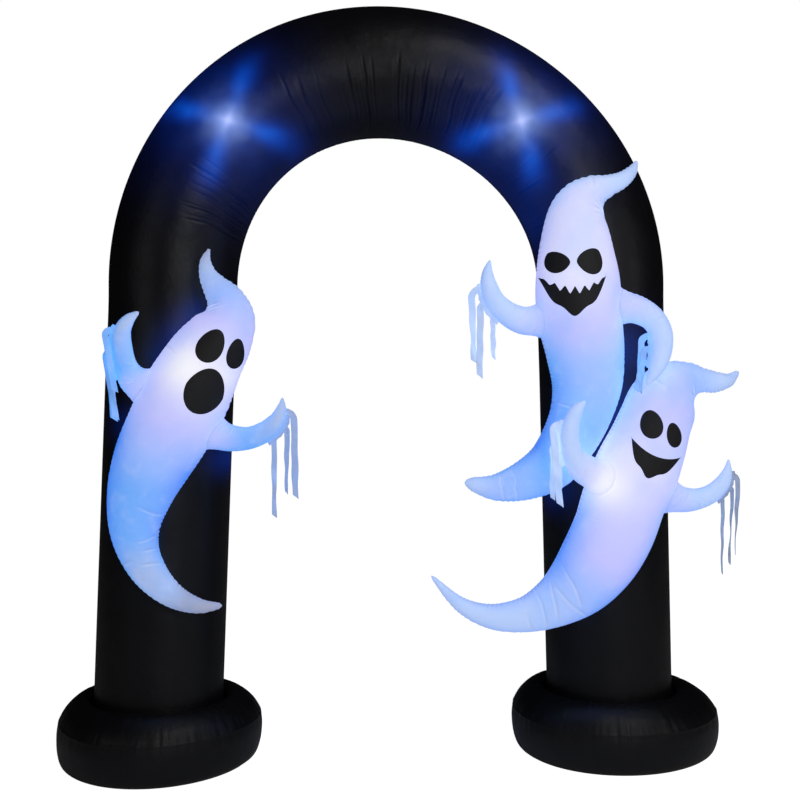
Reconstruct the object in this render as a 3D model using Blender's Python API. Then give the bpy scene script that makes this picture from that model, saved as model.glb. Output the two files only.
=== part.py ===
# Inflatable walk-through arch, 2.7 m tall: one black arch tube standing in two ring bases,
# and three filled ghosts sewn to the front of its legs, each with two sleeves and a fringe of
# hanging ribbons on every hand. Lengths are metres, +Z is up and the ghosts face -Y.

import math
from collections import namedtuple

import bmesh
import bpy
from mathutils import Vector

# Clearance between pieces that touch
GAP = 0.0003

# Arch tube: two legs that lean in a little, and a half circle between them
ARCH_HEIGHT = 2.675
ARCH_MIDDLE_X = 0.015
LEG_RADIUS = 0.2265
CROWN_RADIUS = 0.229
SPRING_X = 0.770
SPRING_Z = ARCH_HEIGHT - SPRING_X - CROWN_RADIUS
CROWN_LEAN = -0.026
TUBE_SIDES = 24
LEG_STEPS = 8
ARC_STEPS = 48

# The cloth gathers on the inner side of the half circle, more in some stretches than in others
PUCKER_DEPTH = 0.005
PUCKER_CALM = 0.35
PUCKER_STRETCHES = 2.5
PUCKER_PHASE = 0.6
PUCKER_PAST_SIDE = 0.25

# Ring bases, turned round the legs
BASE_SIDES = 48
BASE_HOLE = LEG_RADIUS + 0.001
BASE_WALL = 0.372
BASE_LOBES = 3
BASE_SEAM_Z = 0.155
BASE_SEAM_BAND = 0.05
BASE_TUCKS = 0.004

# Filled forms: sides, rings, and depth as a share of width
Filling = namedtuple("Filling", "sides rings depth")
GHOST_BODY = Filling(18, 30, 0.90)
GHOST_SLEEVE = Filling(10, 12, 0.92)
TIP_ROUNDING = 0.7
THINNEST_TIP = 0.002
SLOPE_STEP = 0.02

# Seam tape on each sleeve: how far it stands out, and where its middle and the ribbons' roots lie
TAPE_REACH = 0.014
TAPE_THICKNESS = 0.0026
TAPE_MIDDLE = 0.4
TAPE_STEPS = 6
TAPE_PAST_ROOT = 0.035
TAPE_END = 0.97
ROOT_IN_TAPE = 0.3

# Ribbons: smooth bend at the root, then a hanging length with a slight ripple
RIBBON_THICKNESS = 0.002
BEND_CLEARANCE = 0.006
BEND_STEPS = 3
HANG_STEPS = 5
RIPPLE_X = 0.0015
RIPPLE_Y = 0.0025

Foot = namedtuple("Foot", "side x forward")
Base = namedtuple("Base", "foot bulge shift lobe phase")
Turn = namedtuple("Turn", "radius z")
Section = namedtuple("Section", "x z y half_width")
Ribbon = namedtuple("Ribbon", "share bend length width facing sway forward")
Ring = namedtuple("Ring", "centre tangent side front half_width half_depth")

# Where each leg meets the floor: distance from the arch's middle, and how far forward
LEFT_FOOT = Foot(-1.0, 0.830, 0.055)
RIGHT_FOOT = Foot(1.0, 0.816, 0.0)

# Ring bases: bulge of the wall against the profile, shift of its outer part in x, lobes round it
LEFT_BASE = Base(LEFT_FOOT, 0.93, 0.002, 0.007, 0.9)
RIGHT_BASE = Base(RIGHT_FOOT, 1.03, 0.010, 0.006, 2.2)

# Ring base profile, from the hole's lower edge out, up and back to the hole
BASE_PROFILE = (
    Turn(BASE_HOLE, 0.000),
    Turn(0.332, 0.000),
    Turn(0.356, 0.016),
    Turn(0.369, 0.055),
    Turn(BASE_WALL, 0.105),
    Turn(0.363, 0.152),
    Turn(0.337, 0.193),
    Turn(0.302, 0.220),
    Turn(0.268, 0.230),
    Turn(0.246, 0.219),
    Turn(0.237, 0.195),
    Turn(BASE_HOLE, 0.165),
)

# Ghosts, from the tip of the hood to the tip of the tail: x, z, y, half width
WAILING_BODY = (
    Section(-0.598, 1.785, -0.280, 0.005),
    Section(-0.609, 1.745, -0.283, 0.019),
    Section(-0.600, 1.700, -0.287, 0.031),
    Section(-0.575, 1.660, -0.296, 0.045),
    Section(-0.540, 1.612, -0.306, 0.066),
    Section(-0.531, 1.555, -0.314, 0.091),
    Section(-0.560, 1.490, -0.318, 0.113),
    Section(-0.612, 1.410, -0.321, 0.131),
    Section(-0.670, 1.300, -0.324, 0.146),
    Section(-0.728, 1.185, -0.326, 0.142),
    Section(-0.780, 1.085, -0.326, 0.131),
    Section(-0.820, 0.985, -0.325, 0.112),
    Section(-0.842, 0.875, -0.323, 0.088),
    Section(-0.830, 0.778, -0.320, 0.069),
    Section(-0.785, 0.692, -0.316, 0.056),
    Section(-0.715, 0.625, -0.310, 0.041),
    Section(-0.635, 0.590, -0.300, 0.026),
    Section(-0.565, 0.588, -0.290, 0.010),
)
GRINNING_BODY = (
    Section(0.842, 2.086, -0.300, 0.006),
    Section(0.826, 2.054, -0.300, 0.020),
    Section(0.792, 2.024, -0.302, 0.029),
    Section(0.742, 2.003, -0.304, 0.039),
    Section(0.695, 1.984, -0.306, 0.058),
    Section(0.658, 1.948, -0.307, 0.083),
    Section(0.637, 1.890, -0.308, 0.102),
    Section(0.636, 1.790, -0.308, 0.125),
    Section(0.642, 1.680, -0.308, 0.142),
    Section(0.648, 1.570, -0.308, 0.143),
    Section(0.668, 1.450, -0.308, 0.133),
    Section(0.675, 1.340, -0.310, 0.120),
    Section(0.653, 1.235, -0.314, 0.104),
    Section(0.612, 1.145, -0.316, 0.094),
    Section(0.556, 1.064, -0.316, 0.087),
    Section(0.465, 1.010, -0.314, 0.069),
    Section(0.365, 0.986, -0.312, 0.046),
    Section(0.275, 1.000, -0.310, 0.021),
)
SMILING_BODY = (
    Section(1.182, 1.374, -0.340, 0.008),
    Section(1.150, 1.348, -0.340, 0.024),
    Section(1.104, 1.342, -0.340, 0.037),
    Section(1.060, 1.348, -0.340, 0.043),
    Section(1.018, 1.348, -0.338, 0.064),
    Section(0.972, 1.327, -0.336, 0.095),
    Section(0.932, 1.277, -0.334, 0.118),
    Section(0.904, 1.210, -0.332, 0.123),
    Section(0.876, 1.130, -0.330, 0.133),
    Section(0.840, 1.040, -0.328, 0.143),
    Section(0.802, 0.950, -0.326, 0.141),
    Section(0.764, 0.835, -0.324, 0.138),
    Section(0.712, 0.738, -0.322, 0.131),
    Section(0.645, 0.655, -0.320, 0.113),
    Section(0.560, 0.592, -0.318, 0.085),
    Section(0.460, 0.552, -0.316, 0.060),
    Section(0.350, 0.548, -0.314, 0.043),
    Section(0.245, 0.590, -0.312, 0.026),
    Section(0.150, 0.684, -0.310, 0.006),
)

# Sleeves, from inside the body to the tip of the hand
WAILING_SLEEVE_IN = (
    Section(-0.675, 1.225, -0.322, 0.054),
    Section(-0.625, 1.200, -0.323, 0.053),
    Section(-0.578, 1.173, -0.326, 0.050),
    Section(-0.525, 1.157, -0.334, 0.045),
    Section(-0.463, 1.157, -0.346, 0.038),
    Section(-0.408, 1.179, -0.358, 0.035),
    Section(-0.368, 1.214, -0.370, 0.030),
    Section(-0.353, 1.255, -0.378, 0.017),
    Section(-0.349, 1.289, -0.380, 0.004),
)
WAILING_SLEEVE_OUT = (
    Section(-0.705, 1.298, -0.322, 0.056),
    Section(-0.757, 1.308, -0.324, 0.056),
    Section(-0.797, 1.323, -0.330, 0.054),
    Section(-0.840, 1.351, -0.342, 0.049),
    Section(-0.862, 1.400, -0.356, 0.036),
    Section(-0.871, 1.460, -0.368, 0.032),
    Section(-0.869, 1.510, -0.376, 0.028),
    Section(-0.848, 1.546, -0.380, 0.020),
    Section(-0.818, 1.570, -0.382, 0.006),
)
GRINNING_SLEEVE_IN = (
    Section(0.620, 1.570, -0.310, 0.053),
    Section(0.565, 1.557, -0.312, 0.052),
    Section(0.507, 1.548, -0.316, 0.050),
    Section(0.452, 1.549, -0.325, 0.047),
    Section(0.401, 1.571, -0.338, 0.041),
    Section(0.357, 1.609, -0.351, 0.036),
    Section(0.336, 1.655, -0.362, 0.030),
    Section(0.329, 1.702, -0.368, 0.019),
    Section(0.336, 1.744, -0.370, 0.004),
)
GRINNING_SLEEVE_OUT = (
    Section(0.670, 1.606, -0.312, 0.058),
    Section(0.730, 1.604, -0.314, 0.056),
    Section(0.785, 1.598, -0.320, 0.053),
    Section(0.838, 1.585, -0.340, 0.048),
    Section(0.880, 1.556, -0.370, 0.042),
    Section(0.900, 1.512, -0.402, 0.039),
    Section(0.898, 1.464, -0.432, 0.036),
    Section(0.884, 1.415, -0.454, 0.031),
    Section(0.862, 1.372, -0.468, 0.021),
    Section(0.840, 1.339, -0.474, 0.006),
)
SMILING_SLEEVE_IN = (
    Section(0.765, 1.008, -0.350, 0.056),
    Section(0.718, 1.022, -0.380, 0.055),
    Section(0.675, 1.040, -0.415, 0.053),
    Section(0.630, 1.066, -0.450, 0.048),
    Section(0.596, 1.107, -0.476, 0.037),
    Section(0.582, 1.157, -0.488, 0.032),
    Section(0.586, 1.208, -0.492, 0.028),
    Section(0.603, 1.251, -0.494, 0.022),
    Section(0.629, 1.280, -0.494, 0.006),
)
SMILING_SLEEVE_OUT = (
    Section(0.835, 0.998, -0.330, 0.055),
    Section(0.888, 0.976, -0.332, 0.054),
    Section(0.950, 0.954, -0.335, 0.050),
    Section(1.002, 0.944, -0.342, 0.043),
    Section(1.047, 0.948, -0.352, 0.036),
    Section(1.089, 0.967, -0.362, 0.032),
    Section(1.121, 1.000, -0.370, 0.027),
    Section(1.138, 1.042, -0.376, 0.016),
    Section(1.141, 1.081, -0.378, 0.003),
)

# Ribbons on each hand: share of the sleeve's length, radius of the bend at the root, hanging
# length, width, facing at the lower end in degrees from the front, and how far the lower end
# has swayed to +x and forward
WAILING_RIBBONS_IN = (
    Ribbon(0.640, 0.012, 0.235, 0.022, 55, 0.000, 0.006),
    Ribbon(0.745, 0.012, 0.195, 0.022, 74, -0.004, -0.008),
    Ribbon(0.855, 0.026, 0.245, 0.026, 25, 0.004, 0.010),
)
WAILING_RIBBONS_OUT = (
    Ribbon(0.460, 0.010, 0.120, 0.026, 20, 0.012, 0.024),
    Ribbon(0.600, 0.010, 0.190, 0.026, 10, 0.030, 0.012),
    Ribbon(0.740, 0.010, 0.170, 0.024, 35, 0.036, 0.045),
)
GRINNING_RIBBONS_IN = (
    Ribbon(0.555, 0.010, 0.115, 0.020, 45, 0.004, -0.012),
    Ribbon(0.655, 0.018, 0.215, 0.026, 8, -0.004, 0.010),
    Ribbon(0.765, 0.034, 0.200, 0.026, 15, 0.008, -0.006),
)
GRINNING_RIBBONS_OUT = (
    Ribbon(0.600, 0.026, 0.150, 0.026, 20, -0.014, 0.034),
    Ribbon(0.720, 0.014, 0.115, 0.024, -10, -0.018, 0.014),
    Ribbon(0.840, 0.010, 0.070, 0.022, 15, -0.020, 0.008),
)
SMILING_RIBBONS_IN = (
    Ribbon(0.500, 0.010, 0.120, 0.022, 40, 0.006, -0.010),
    Ribbon(0.610, 0.024, 0.150, 0.022, 30, 0.002, -0.004),
    Ribbon(0.730, 0.010, 0.228, 0.028, 5, 0.016, 0.024),
)
SMILING_RIBBONS_OUT = (
    Ribbon(0.660, 0.012, 0.235, 0.018, 50, -0.004, 0.008),
    Ribbon(0.760, 0.014, 0.240, 0.018, 65, -0.006, -0.008),
    Ribbon(0.855, 0.022, 0.235, 0.020, 55, -0.010, 0.006),
)

BLACK = (0.012, 0.012, 0.014, 1.0)
BLACK_ROUGHNESS = 0.45
PALE_BLUE = (0.62, 0.72, 0.98, 1.0)
PALE_BLUE_ROUGHNESS = 0.55


def clear_scene():
    for old in list(bpy.data.objects):
        bpy.data.objects.remove(old)


def cloth_material(name, colour, roughness):
    material = bpy.data.materials.new(name)
    material.use_nodes = True
    shader = material.node_tree.nodes["Principled BSDF"]
    shader.inputs["Base Color"].default_value = colour
    shader.inputs["Roughness"].default_value = roughness
    shader.inputs["Metallic"].default_value = 0.0
    return material


def linked_object(name, bm, material):
    """Object made from bm, its faces turned outwards and shaded smooth."""
    bmesh.ops.recalc_face_normals(bm, faces=bm.faces)
    mesh = bpy.data.meshes.new(name)
    bm.to_mesh(mesh)
    bm.free()
    mesh.shade_smooth()
    made = bpy.data.objects.new(name, mesh)
    made.data.materials.append(material)
    bpy.context.scene.collection.objects.link(made)
    return made


def combine(piece, helper, operation):
    """Live Boolean of piece with helper, which is left out of the model."""
    helper.hide_render = True
    helper.display_type = "WIRE"
    change = piece.modifiers.new(f"{operation.lower()}_{helper.name}", "BOOLEAN")
    change.operation = operation
    change.object = helper


def loft(rings, first_pole=None, last_pole=None, closed=False):
    """Skin over rings of equal count, ended with poles, flat faces, or nothing if closed.

    Its quads are split along one diagonal, so that a piece and its grown seat match.
    """
    bm = bmesh.new()
    rows = [[bm.verts.new(point) for point in ring] for ring in rings]
    pairs = list(zip(rows, rows[1:] + rows[:1] if closed else rows[1:]))
    count = len(rows[0])
    for lower, upper in pairs:
        for i in range(count):
            j = (i + 1) % count
            bm.faces.new((lower[i], lower[j], upper[j]))
            bm.faces.new((lower[i], upper[j], upper[i]))
    if not closed:
        for row, pole in ((rows[0], first_pole), (rows[-1], last_pole)):
            if pole is None:
                bm.faces.new(row)
                continue
            tip = bm.verts.new(pole)
            for i in range(count):
                bm.faces.new((row[i], row[(i + 1) % count], tip))
    return bm


def leg_middle(foot, z):
    """Middle of a leg at height z: it leans in from its foot to where the half circle springs."""
    share = min(z / SPRING_Z, 1.0)
    reach = foot.x + (SPRING_X - foot.x) * share
    return Vector((ARCH_MIDDLE_X + foot.side * reach, -foot.forward * (1.0 - share), z))


def pucker(step, angle, around):
    """How far the gathered cloth lies inside the tube's round, on every second ring."""
    if step % 2 == 0:
        return 0.0
    inner = max(0.0, PUCKER_PAST_SIDE - math.cos(around)) / (1.0 + PUCKER_PAST_SIDE)
    busy = math.sin(PUCKER_STRETCHES * angle + PUCKER_PHASE) ** 2
    return PUCKER_DEPTH * inner * (PUCKER_CALM + (1.0 - PUCKER_CALM) * busy)


def tube_ring(centre, outward, radius, step=0, angle=0.0):
    """One ring of the arch tube in the plane of outward and the front."""
    front = Vector((0.0, -1.0, 0.0))
    points = []
    for i in range(TUBE_SIDES):
        around = 2.0 * math.pi * i / TUBE_SIDES
        reach = radius - pucker(step, angle, around)
        points.append(
            centre + outward * (reach * math.cos(around)) + front * (reach * math.sin(around))
        )
    return points


def arch_rings(grow=0.0):
    rings = []
    left, right = Vector((-1.0, 0.0, 0.0)), Vector((1.0, 0.0, 0.0))
    for i in range(LEG_STEPS):
        middle = leg_middle(LEFT_FOOT, SPRING_Z * i / LEG_STEPS)
        rings.append(tube_ring(middle, left, LEG_RADIUS + grow))
    for i in range(ARC_STEPS + 1):
        angle = math.pi * i / ARC_STEPS
        outward = Vector((-math.cos(angle), 0.0, math.sin(angle)))
        lean = CROWN_LEAN * math.sin(angle) ** 2
        radius = LEG_RADIUS + (CROWN_RADIUS - LEG_RADIUS) * math.sin(angle) + grow
        middle = Vector((ARCH_MIDDLE_X + lean, 0.0, SPRING_Z)) + outward * SPRING_X
        rings.append(tube_ring(middle, outward, radius, i, angle))
    for i in range(LEG_STEPS - 1, -1, -1):
        middle = leg_middle(RIGHT_FOOT, SPRING_Z * i / LEG_STEPS)
        rings.append(tube_ring(middle, right, LEG_RADIUS + grow))
    return rings


def arch_tube(material):
    return linked_object("arch_tube", loft(arch_rings()), material)


def base_ring(name, base, material):
    """Ring base round one leg: uneven lobes at its wall, small tucks along its shoulder seam."""
    rings = []
    for radius, z in BASE_PROFILE:
        out = (radius - BASE_HOLE) / (BASE_WALL - BASE_HOLE)
        middle = leg_middle(base.foot, z) + Vector((base.shift * out, 0.0, 0.0))
        near_seam = max(0.0, 1.0 - abs(z - BASE_SEAM_Z) / BASE_SEAM_BAND)
        ring = []
        for i in range(BASE_SIDES):
            turn = 2.0 * math.pi * i / BASE_SIDES
            lobe = base.lobe * math.sin(BASE_LOBES * turn + base.phase) * out
            tuck = BASE_TUCKS * near_seam * out * (i % 2)
            reach = BASE_HOLE + (radius - BASE_HOLE) * base.bulge + lobe - tuck
            ring.append(middle + Vector((reach * math.cos(turn), reach * math.sin(turn), 0.0)))
        rings.append(ring)
    return linked_object(name, loft(rings, closed=True), material)


def smooth_section(rows, t):
    """Section at t rows along, on a smooth curve through every row."""
    last = len(rows) - 1
    i = min(int(t), last - 1)
    u = t - i
    values = []
    for column in range(len(rows[0])):
        before = rows[max(i - 1, 0)][column]
        start, end = rows[i][column], rows[i + 1][column]
        after = rows[min(i + 2, last)][column]
        leave, arrive = (end - before) / 2.0, (after - start) / 2.0
        values.append(
            (2 * u**3 - 3 * u**2 + 1) * start
            + (u**3 - 2 * u**2 + u) * leave
            + (3 * u**2 - 2 * u**3) * end
            + (u**3 - u**2) * arrive
        )
    return Section(*values)


def section_ring(rows, share, depth):
    """Ring frame at a share of the form's length.

    Its side lies in the upright plane of the arch, and its front is square to side and length.
    """
    last = len(rows) - 1
    t = last * share
    here = smooth_section(rows, t)
    before = smooth_section(rows, max(t - SLOPE_STEP, 0.0))
    after = smooth_section(rows, min(t + SLOPE_STEP, float(last)))
    tangent = Vector((after.x - before.x, after.y - before.y, after.z - before.z)).normalized()
    side = tangent.cross(Vector((0.0, 1.0, 0.0))).normalized()
    front = side.cross(tangent)
    width = max(here.half_width, THINNEST_TIP)
    return Ring(Vector((here.x, here.y, here.z)), tangent, side, front, width, width * depth)


def filled_form(name, rows, filling, material, grow=0.0):
    """Filled cloth form swept through its sections, rounded off at both tips."""
    frames = [
        section_ring(rows, i / (filling.rings - 1), filling.depth) for i in range(filling.rings)
    ]
    rings = []
    for frame in frames:
        ring = []
        for k in range(filling.sides):
            around = 2.0 * math.pi * k / filling.sides
            ring.append(
                frame.centre
                + frame.side * ((frame.half_width + grow) * math.cos(around))
                + frame.front * ((frame.half_depth + grow) * math.sin(around))
            )
        rings.append(ring)
    first, last = frames[0], frames[-1]
    first_pole = first.centre - first.tangent * (first.half_width * TIP_ROUNDING + grow)
    last_pole = last.centre + last.tangent * (last.half_width * TIP_ROUNDING + grow)
    return linked_object(name, loft(rings, first_pole, last_pole), material)


def slope(places, i):
    """Direction of the path through places, at place i."""
    return (places[min(i + 1, len(places) - 1)] - places[max(i - 1, 0)]).normalized()


def flat_strip(name, places, widths, thickness, material):
    """Cloth strip of one thickness through places, with its width along widths."""
    rings = []
    for i, place in enumerate(places):
        tangent = slope(places, i)
        across = (widths[i] - tangent * widths[i].dot(tangent)).normalized()
        through = tangent.cross(across) * (thickness / 2.0)
        across *= widths[i].length / 2.0
        rings.append(
            [place + across + through, place - across + through,
             place - across - through, place + across - through]
        )
    return linked_object(name, loft(rings), material)


def outer_edge(rows, share, outward):
    """(point on the sleeve's outer seam, direction out of it) at a share of its length."""
    frame = section_ring(rows, share, GHOST_SLEEVE.depth)
    out = frame.side * outward
    return frame.centre + out * frame.half_width, out


def ribbon_path(start, out, cut):
    """Points down a ribbon's middle: out of the seam, round its bend, then down to its end."""
    fall = Vector((cut.sway, -cut.forward, -cut.length))
    down = fall.normalized()
    bend_radius = max(cut.bend, cut.width / 2.0 + BEND_CLEARANCE)
    bend_step = bend_radius * out.angle(down) / BEND_STEPS
    places = [start]
    for i in range(BEND_STEPS):
        heading = out.slerp(down, (i + 0.5) / BEND_STEPS)
        places.append(places[-1] + heading * bend_step)
    for i in range(HANG_STEPS):
        ripple = Vector((RIPPLE_X, -RIPPLE_Y, 0.0)) * (-1) ** i
        places.append(places[-1] + fall / HANG_STEPS + ripple)
    return places


def ribbon(name, rows, outward, cut, material):
    """One ribbon, its root flat with the tape and its lower end turned to its own facing."""
    start, out = outer_edge(rows, cut.share, outward)
    places = ribbon_path(start + out * (TAPE_REACH * ROOT_IN_TAPE), out, cut)
    widths = []
    for i in range(len(places)):
        tangent = slope(places, i)
        side = tangent.cross(Vector((0.0, 1.0, 0.0))).normalized()
        front = side.cross(tangent)
        turned = max(0.0, i - 1.0) / (len(places) - 2.0)
        turn = math.radians(cut.facing) * turned
        widths.append((side * math.cos(turn) + front * math.sin(turn)) * cut.width)
    return flat_strip(name, places, widths, RIBBON_THICKNESS, material)


def fringe(name, rows, outward, cuts, material):
    """Ribbons joined to the tape that is sewn along the sleeve's outer seam."""
    first = cuts[0].share - TAPE_PAST_ROOT
    last = min(cuts[-1].share + TAPE_PAST_ROOT, TAPE_END)
    places, widths = [], []
    for i in range(TAPE_STEPS + 1):
        point, out = outer_edge(rows, first + (last - first) * i / TAPE_STEPS, outward)
        places.append(point + out * (TAPE_REACH * TAPE_MIDDLE))
        widths.append(out * TAPE_REACH)
    tape = flat_strip(name, places, widths, TAPE_THICKNESS, material)
    for i, cut in enumerate(cuts):
        combine(tape, ribbon(f"{name}_ribbon_{i}", rows, outward, cut, material), "UNION")
    combine(tape, filled_form(f"{name}_seat", rows, GHOST_SLEEVE, material, GAP), "DIFFERENCE")


def ghost(name, body_rows, sleeves, material, pressed_by=None):
    """Ghost body seated on the arch tube, with its sleeves and fringes.

    Where another ghost lies against it, that one's body_rows are given as pressed_by.
    """
    body = filled_form(f"{name}_body", body_rows, GHOST_BODY, material)
    combine(body, linked_object(f"{name}_tube_seat", loft(arch_rings(GAP)), material), "DIFFERENCE")
    if pressed_by:
        press = filled_form(f"{name}_press", pressed_by, GHOST_BODY, material, GAP)
        combine(body, press, "DIFFERENCE")
    for side, rows, outward, cuts in sleeves:
        sleeve = filled_form(f"{name}_sleeve_{side}", rows, GHOST_SLEEVE, material)
        chest = filled_form(f"{name}_chest_{side}", body_rows, GHOST_BODY, material, GAP)
        combine(sleeve, chest, "DIFFERENCE")
        fringe(f"{name}_fringe_{side}", rows, outward, cuts, material)


def stand_on_origin():
    """Moves every piece so that the origin is the middle of the box's underside."""
    bpy.context.view_layer.update()
    corners = [
        piece.matrix_world @ Vector(corner)
        for piece in bpy.data.objects
        if piece.type == "MESH" and not piece.hide_render
        for corner in piece.bound_box
    ]
    middle = [
        (min(c[axis] for c in corners) + max(c[axis] for c in corners)) / 2.0 for axis in range(2)
    ]
    frame = bpy.data.objects.new("arch_frame", None)
    bpy.context.scene.collection.objects.link(frame)
    for piece in bpy.data.objects:
        if piece.type == "MESH":
            piece.parent = frame
    frame.location = (-middle[0], -middle[1], 0.0)


def main():
    clear_scene()
    black_nylon = cloth_material("black_nylon", BLACK, BLACK_ROUGHNESS)
    ghost_nylon = cloth_material("ghost_nylon", PALE_BLUE, PALE_BLUE_ROUGHNESS)
    arch_tube(black_nylon)
    base_ring("base_ring_left", LEFT_BASE, black_nylon)
    base_ring("base_ring_right", RIGHT_BASE, black_nylon)
    ghost(
        "wailing_ghost",
        WAILING_BODY,
        (
            ("inner", WAILING_SLEEVE_IN, -1.0, WAILING_RIBBONS_IN),
            ("outer", WAILING_SLEEVE_OUT, 1.0, WAILING_RIBBONS_OUT),
        ),
        ghost_nylon,
    )
    ghost(
        "grinning_ghost",
        GRINNING_BODY,
        (
            ("inner", GRINNING_SLEEVE_IN, 1.0, GRINNING_RIBBONS_IN),
            ("outer", GRINNING_SLEEVE_OUT, -1.0, GRINNING_RIBBONS_OUT),
        ),
        ghost_nylon,
        pressed_by=SMILING_BODY,
    )
    ghost(
        "smiling_ghost",
        SMILING_BODY,
        (
            ("inner", SMILING_SLEEVE_IN, 1.0, SMILING_RIBBONS_IN),
            ("outer", SMILING_SLEEVE_OUT, -1.0, SMILING_RIBBONS_OUT),
        ),
        ghost_nylon,
    )
    stand_on_origin()


main()
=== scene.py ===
"""Finished look of a walk-through inflatable arch with three ghosts lit from inside.

Lengths are metres, +Z is up and the ghosts face -Y. The tables are in the maker's own frame,
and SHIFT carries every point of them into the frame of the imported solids.
"""

import logging
import math
from collections.abc import Callable, Sequence
from dataclasses import dataclass
from enum import Enum

import bmesh
import bpy
import numpy as np
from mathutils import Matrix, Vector
from mathutils.bvhtree import BVHTree
from mathutils.geometry import delaunay_2d_cdt


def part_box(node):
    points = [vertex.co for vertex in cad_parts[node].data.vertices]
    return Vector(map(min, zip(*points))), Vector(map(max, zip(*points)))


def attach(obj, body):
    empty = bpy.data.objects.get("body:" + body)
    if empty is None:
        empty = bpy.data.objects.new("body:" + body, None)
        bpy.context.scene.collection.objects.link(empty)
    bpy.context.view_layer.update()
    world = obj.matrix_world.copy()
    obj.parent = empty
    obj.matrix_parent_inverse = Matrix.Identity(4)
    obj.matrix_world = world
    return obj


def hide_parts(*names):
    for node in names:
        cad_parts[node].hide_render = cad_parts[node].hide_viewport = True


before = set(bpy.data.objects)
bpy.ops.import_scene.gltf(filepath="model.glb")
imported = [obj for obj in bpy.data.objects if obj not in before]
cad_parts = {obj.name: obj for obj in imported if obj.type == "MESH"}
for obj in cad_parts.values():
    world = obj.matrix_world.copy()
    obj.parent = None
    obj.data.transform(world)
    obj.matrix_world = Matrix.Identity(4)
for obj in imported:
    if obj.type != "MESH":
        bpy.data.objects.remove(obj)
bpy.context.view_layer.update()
LOG = logging.getLogger("inflatable_arch")
BODY = "root"
UPRIGHT_NORMAL = np.array([0.0, 1.0, 0.0])
Points = np.ndarray
Colour = tuple[float, float, float]
Faces = list[tuple[int, ...]]
Strip = tuple[Points, Faces]
Socket = bpy.types.NodeSocket
Finish = bpy.types.Material
Piece = bpy.types.Object


class Slot(Enum):
    """The record's material slots."""

    BLACK = "black_nylon"
    GHOST = "ghost_nylon"


def rows(kind: type, *values: tuple) -> tuple:
    """Table of one kind of row, its fields the columns."""
    return tuple(kind(*row) for row in values)


# Arch form, shared by every piece that touches the tube


@dataclass(frozen=True)
class Foot:
    """Where a leg meets the floor: side of the arch, distance from its middle, and forward."""

    side: float
    x: float
    forward: float


@dataclass(frozen=True)
class ArchForm:
    """Centre line and radius of the arch tube."""

    height: float = 2.675
    middle_x: float = 0.015
    leg_radius: float = 0.2265
    crown_radius: float = 0.229
    spring_x: float = 0.77
    crown_lean: float = -0.026
    left: Foot = Foot(-1.0, 0.83, 0.055)
    right: Foot = Foot(1.0, 0.816, 0.0)

    @property
    def spring_z(self) -> float:
        """Height where the half circle starts."""
        return self.height - self.spring_x - self.crown_radius

    def leg_middle(self, foot: Foot, z: float | Points) -> Points:
        """Middle of a leg.

        Args:
            foot: Which leg.
            z: Height or heights above the floor; below it the leg goes straight on.

        Returns:
            x, y and z of the middle, with x, y and z last.
        """
        lean = np.maximum(1.0 - np.asarray(z, float) / self.spring_z, 0.0)
        eased = lean * lean * (10.0 - 25.0 * lean)
        lean = np.where(lean < 0.2, eased, lean)
        x = self.middle_x + foot.side * (self.spring_x + (foot.x - self.spring_x) * lean)
        return np.stack([x, -foot.forward * lean, np.asarray(z, float)], -1)

    def crown_middle(self, angle: float) -> tuple[Points, float]:
        """Middle and radius of the tube on its half circle.

        Args:
            angle: 0 at the left springing and pi at the right one.

        Returns:
            The middle, and the tube's radius there.
        """
        rise = math.sin(angle)
        middle = np.array(
            [
                self.middle_x + self.crown_lean * rise**2 - self.spring_x * math.cos(angle),
                0.0,
                self.spring_z + self.spring_x * rise,
            ]
        )
        return middle, self.leg_radius + (self.crown_radius - self.leg_radius) * rise

    def clear_of_tube(self, points: Points, gap: float) -> Points:
        """Points with those inside the tube moved straight out of it.

        Args:
            points: Points with x, y and z last.
            gap: Distance from the tube's surface that they keep.

        Returns:
            The moved points.
        """
        moved = points.copy()
        x, y, z = points[..., 0], points[..., 1], points[..., 2]
        left = self.leg_middle(self.left, z)
        right = self.leg_middle(self.right, z)
        middle = np.where((x < self.middle_x)[..., None], left, right)
        across, along = x - middle[..., 0], y - middle[..., 1]
        push = np.maximum((self.leg_radius + gap) / np.maximum(np.hypot(across, along), 1e-6), 1.0)
        leg = z < self.spring_z
        moved[..., 0] = np.where(leg, middle[..., 0] + across * push, x)
        moved[..., 1] = np.where(leg, middle[..., 1] + along * push, y)
        rise, run = z - self.spring_z, x - self.middle_x
        rise_share = rise**2 / np.maximum(rise**2 + run**2, 1e-6)
        run = run - self.crown_lean * rise_share
        reach = np.hypot(rise, run)
        off = reach - self.spring_x
        push = np.maximum((self.crown_radius + gap) / np.maximum(np.hypot(off, y), 1e-6), 1.0)
        scale = (self.spring_x + off * push) / np.maximum(reach, 1e-6)
        moved[..., 0] = np.where(
            leg, moved[..., 0], self.middle_x + self.crown_lean * rise_share + run * scale
        )
        moved[..., 1] = np.where(leg, moved[..., 1], y * push)
        moved[..., 2] = np.where(leg, z, self.spring_z + rise * scale)
        return moved


ARCH = ArchForm()


def frame_shift() -> Points:
    """Step from the tables' frame to the solids' frame, read off the arch tube's box."""
    low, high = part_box("arch_tube")
    own_low_x = ARCH.middle_x - ARCH.left.x - ARCH.leg_radius
    return np.array([low.x - own_low_x, high.y - ARCH.crown_radius, 0.0])


SHIFT = frame_shift()


# Node trees


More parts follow.
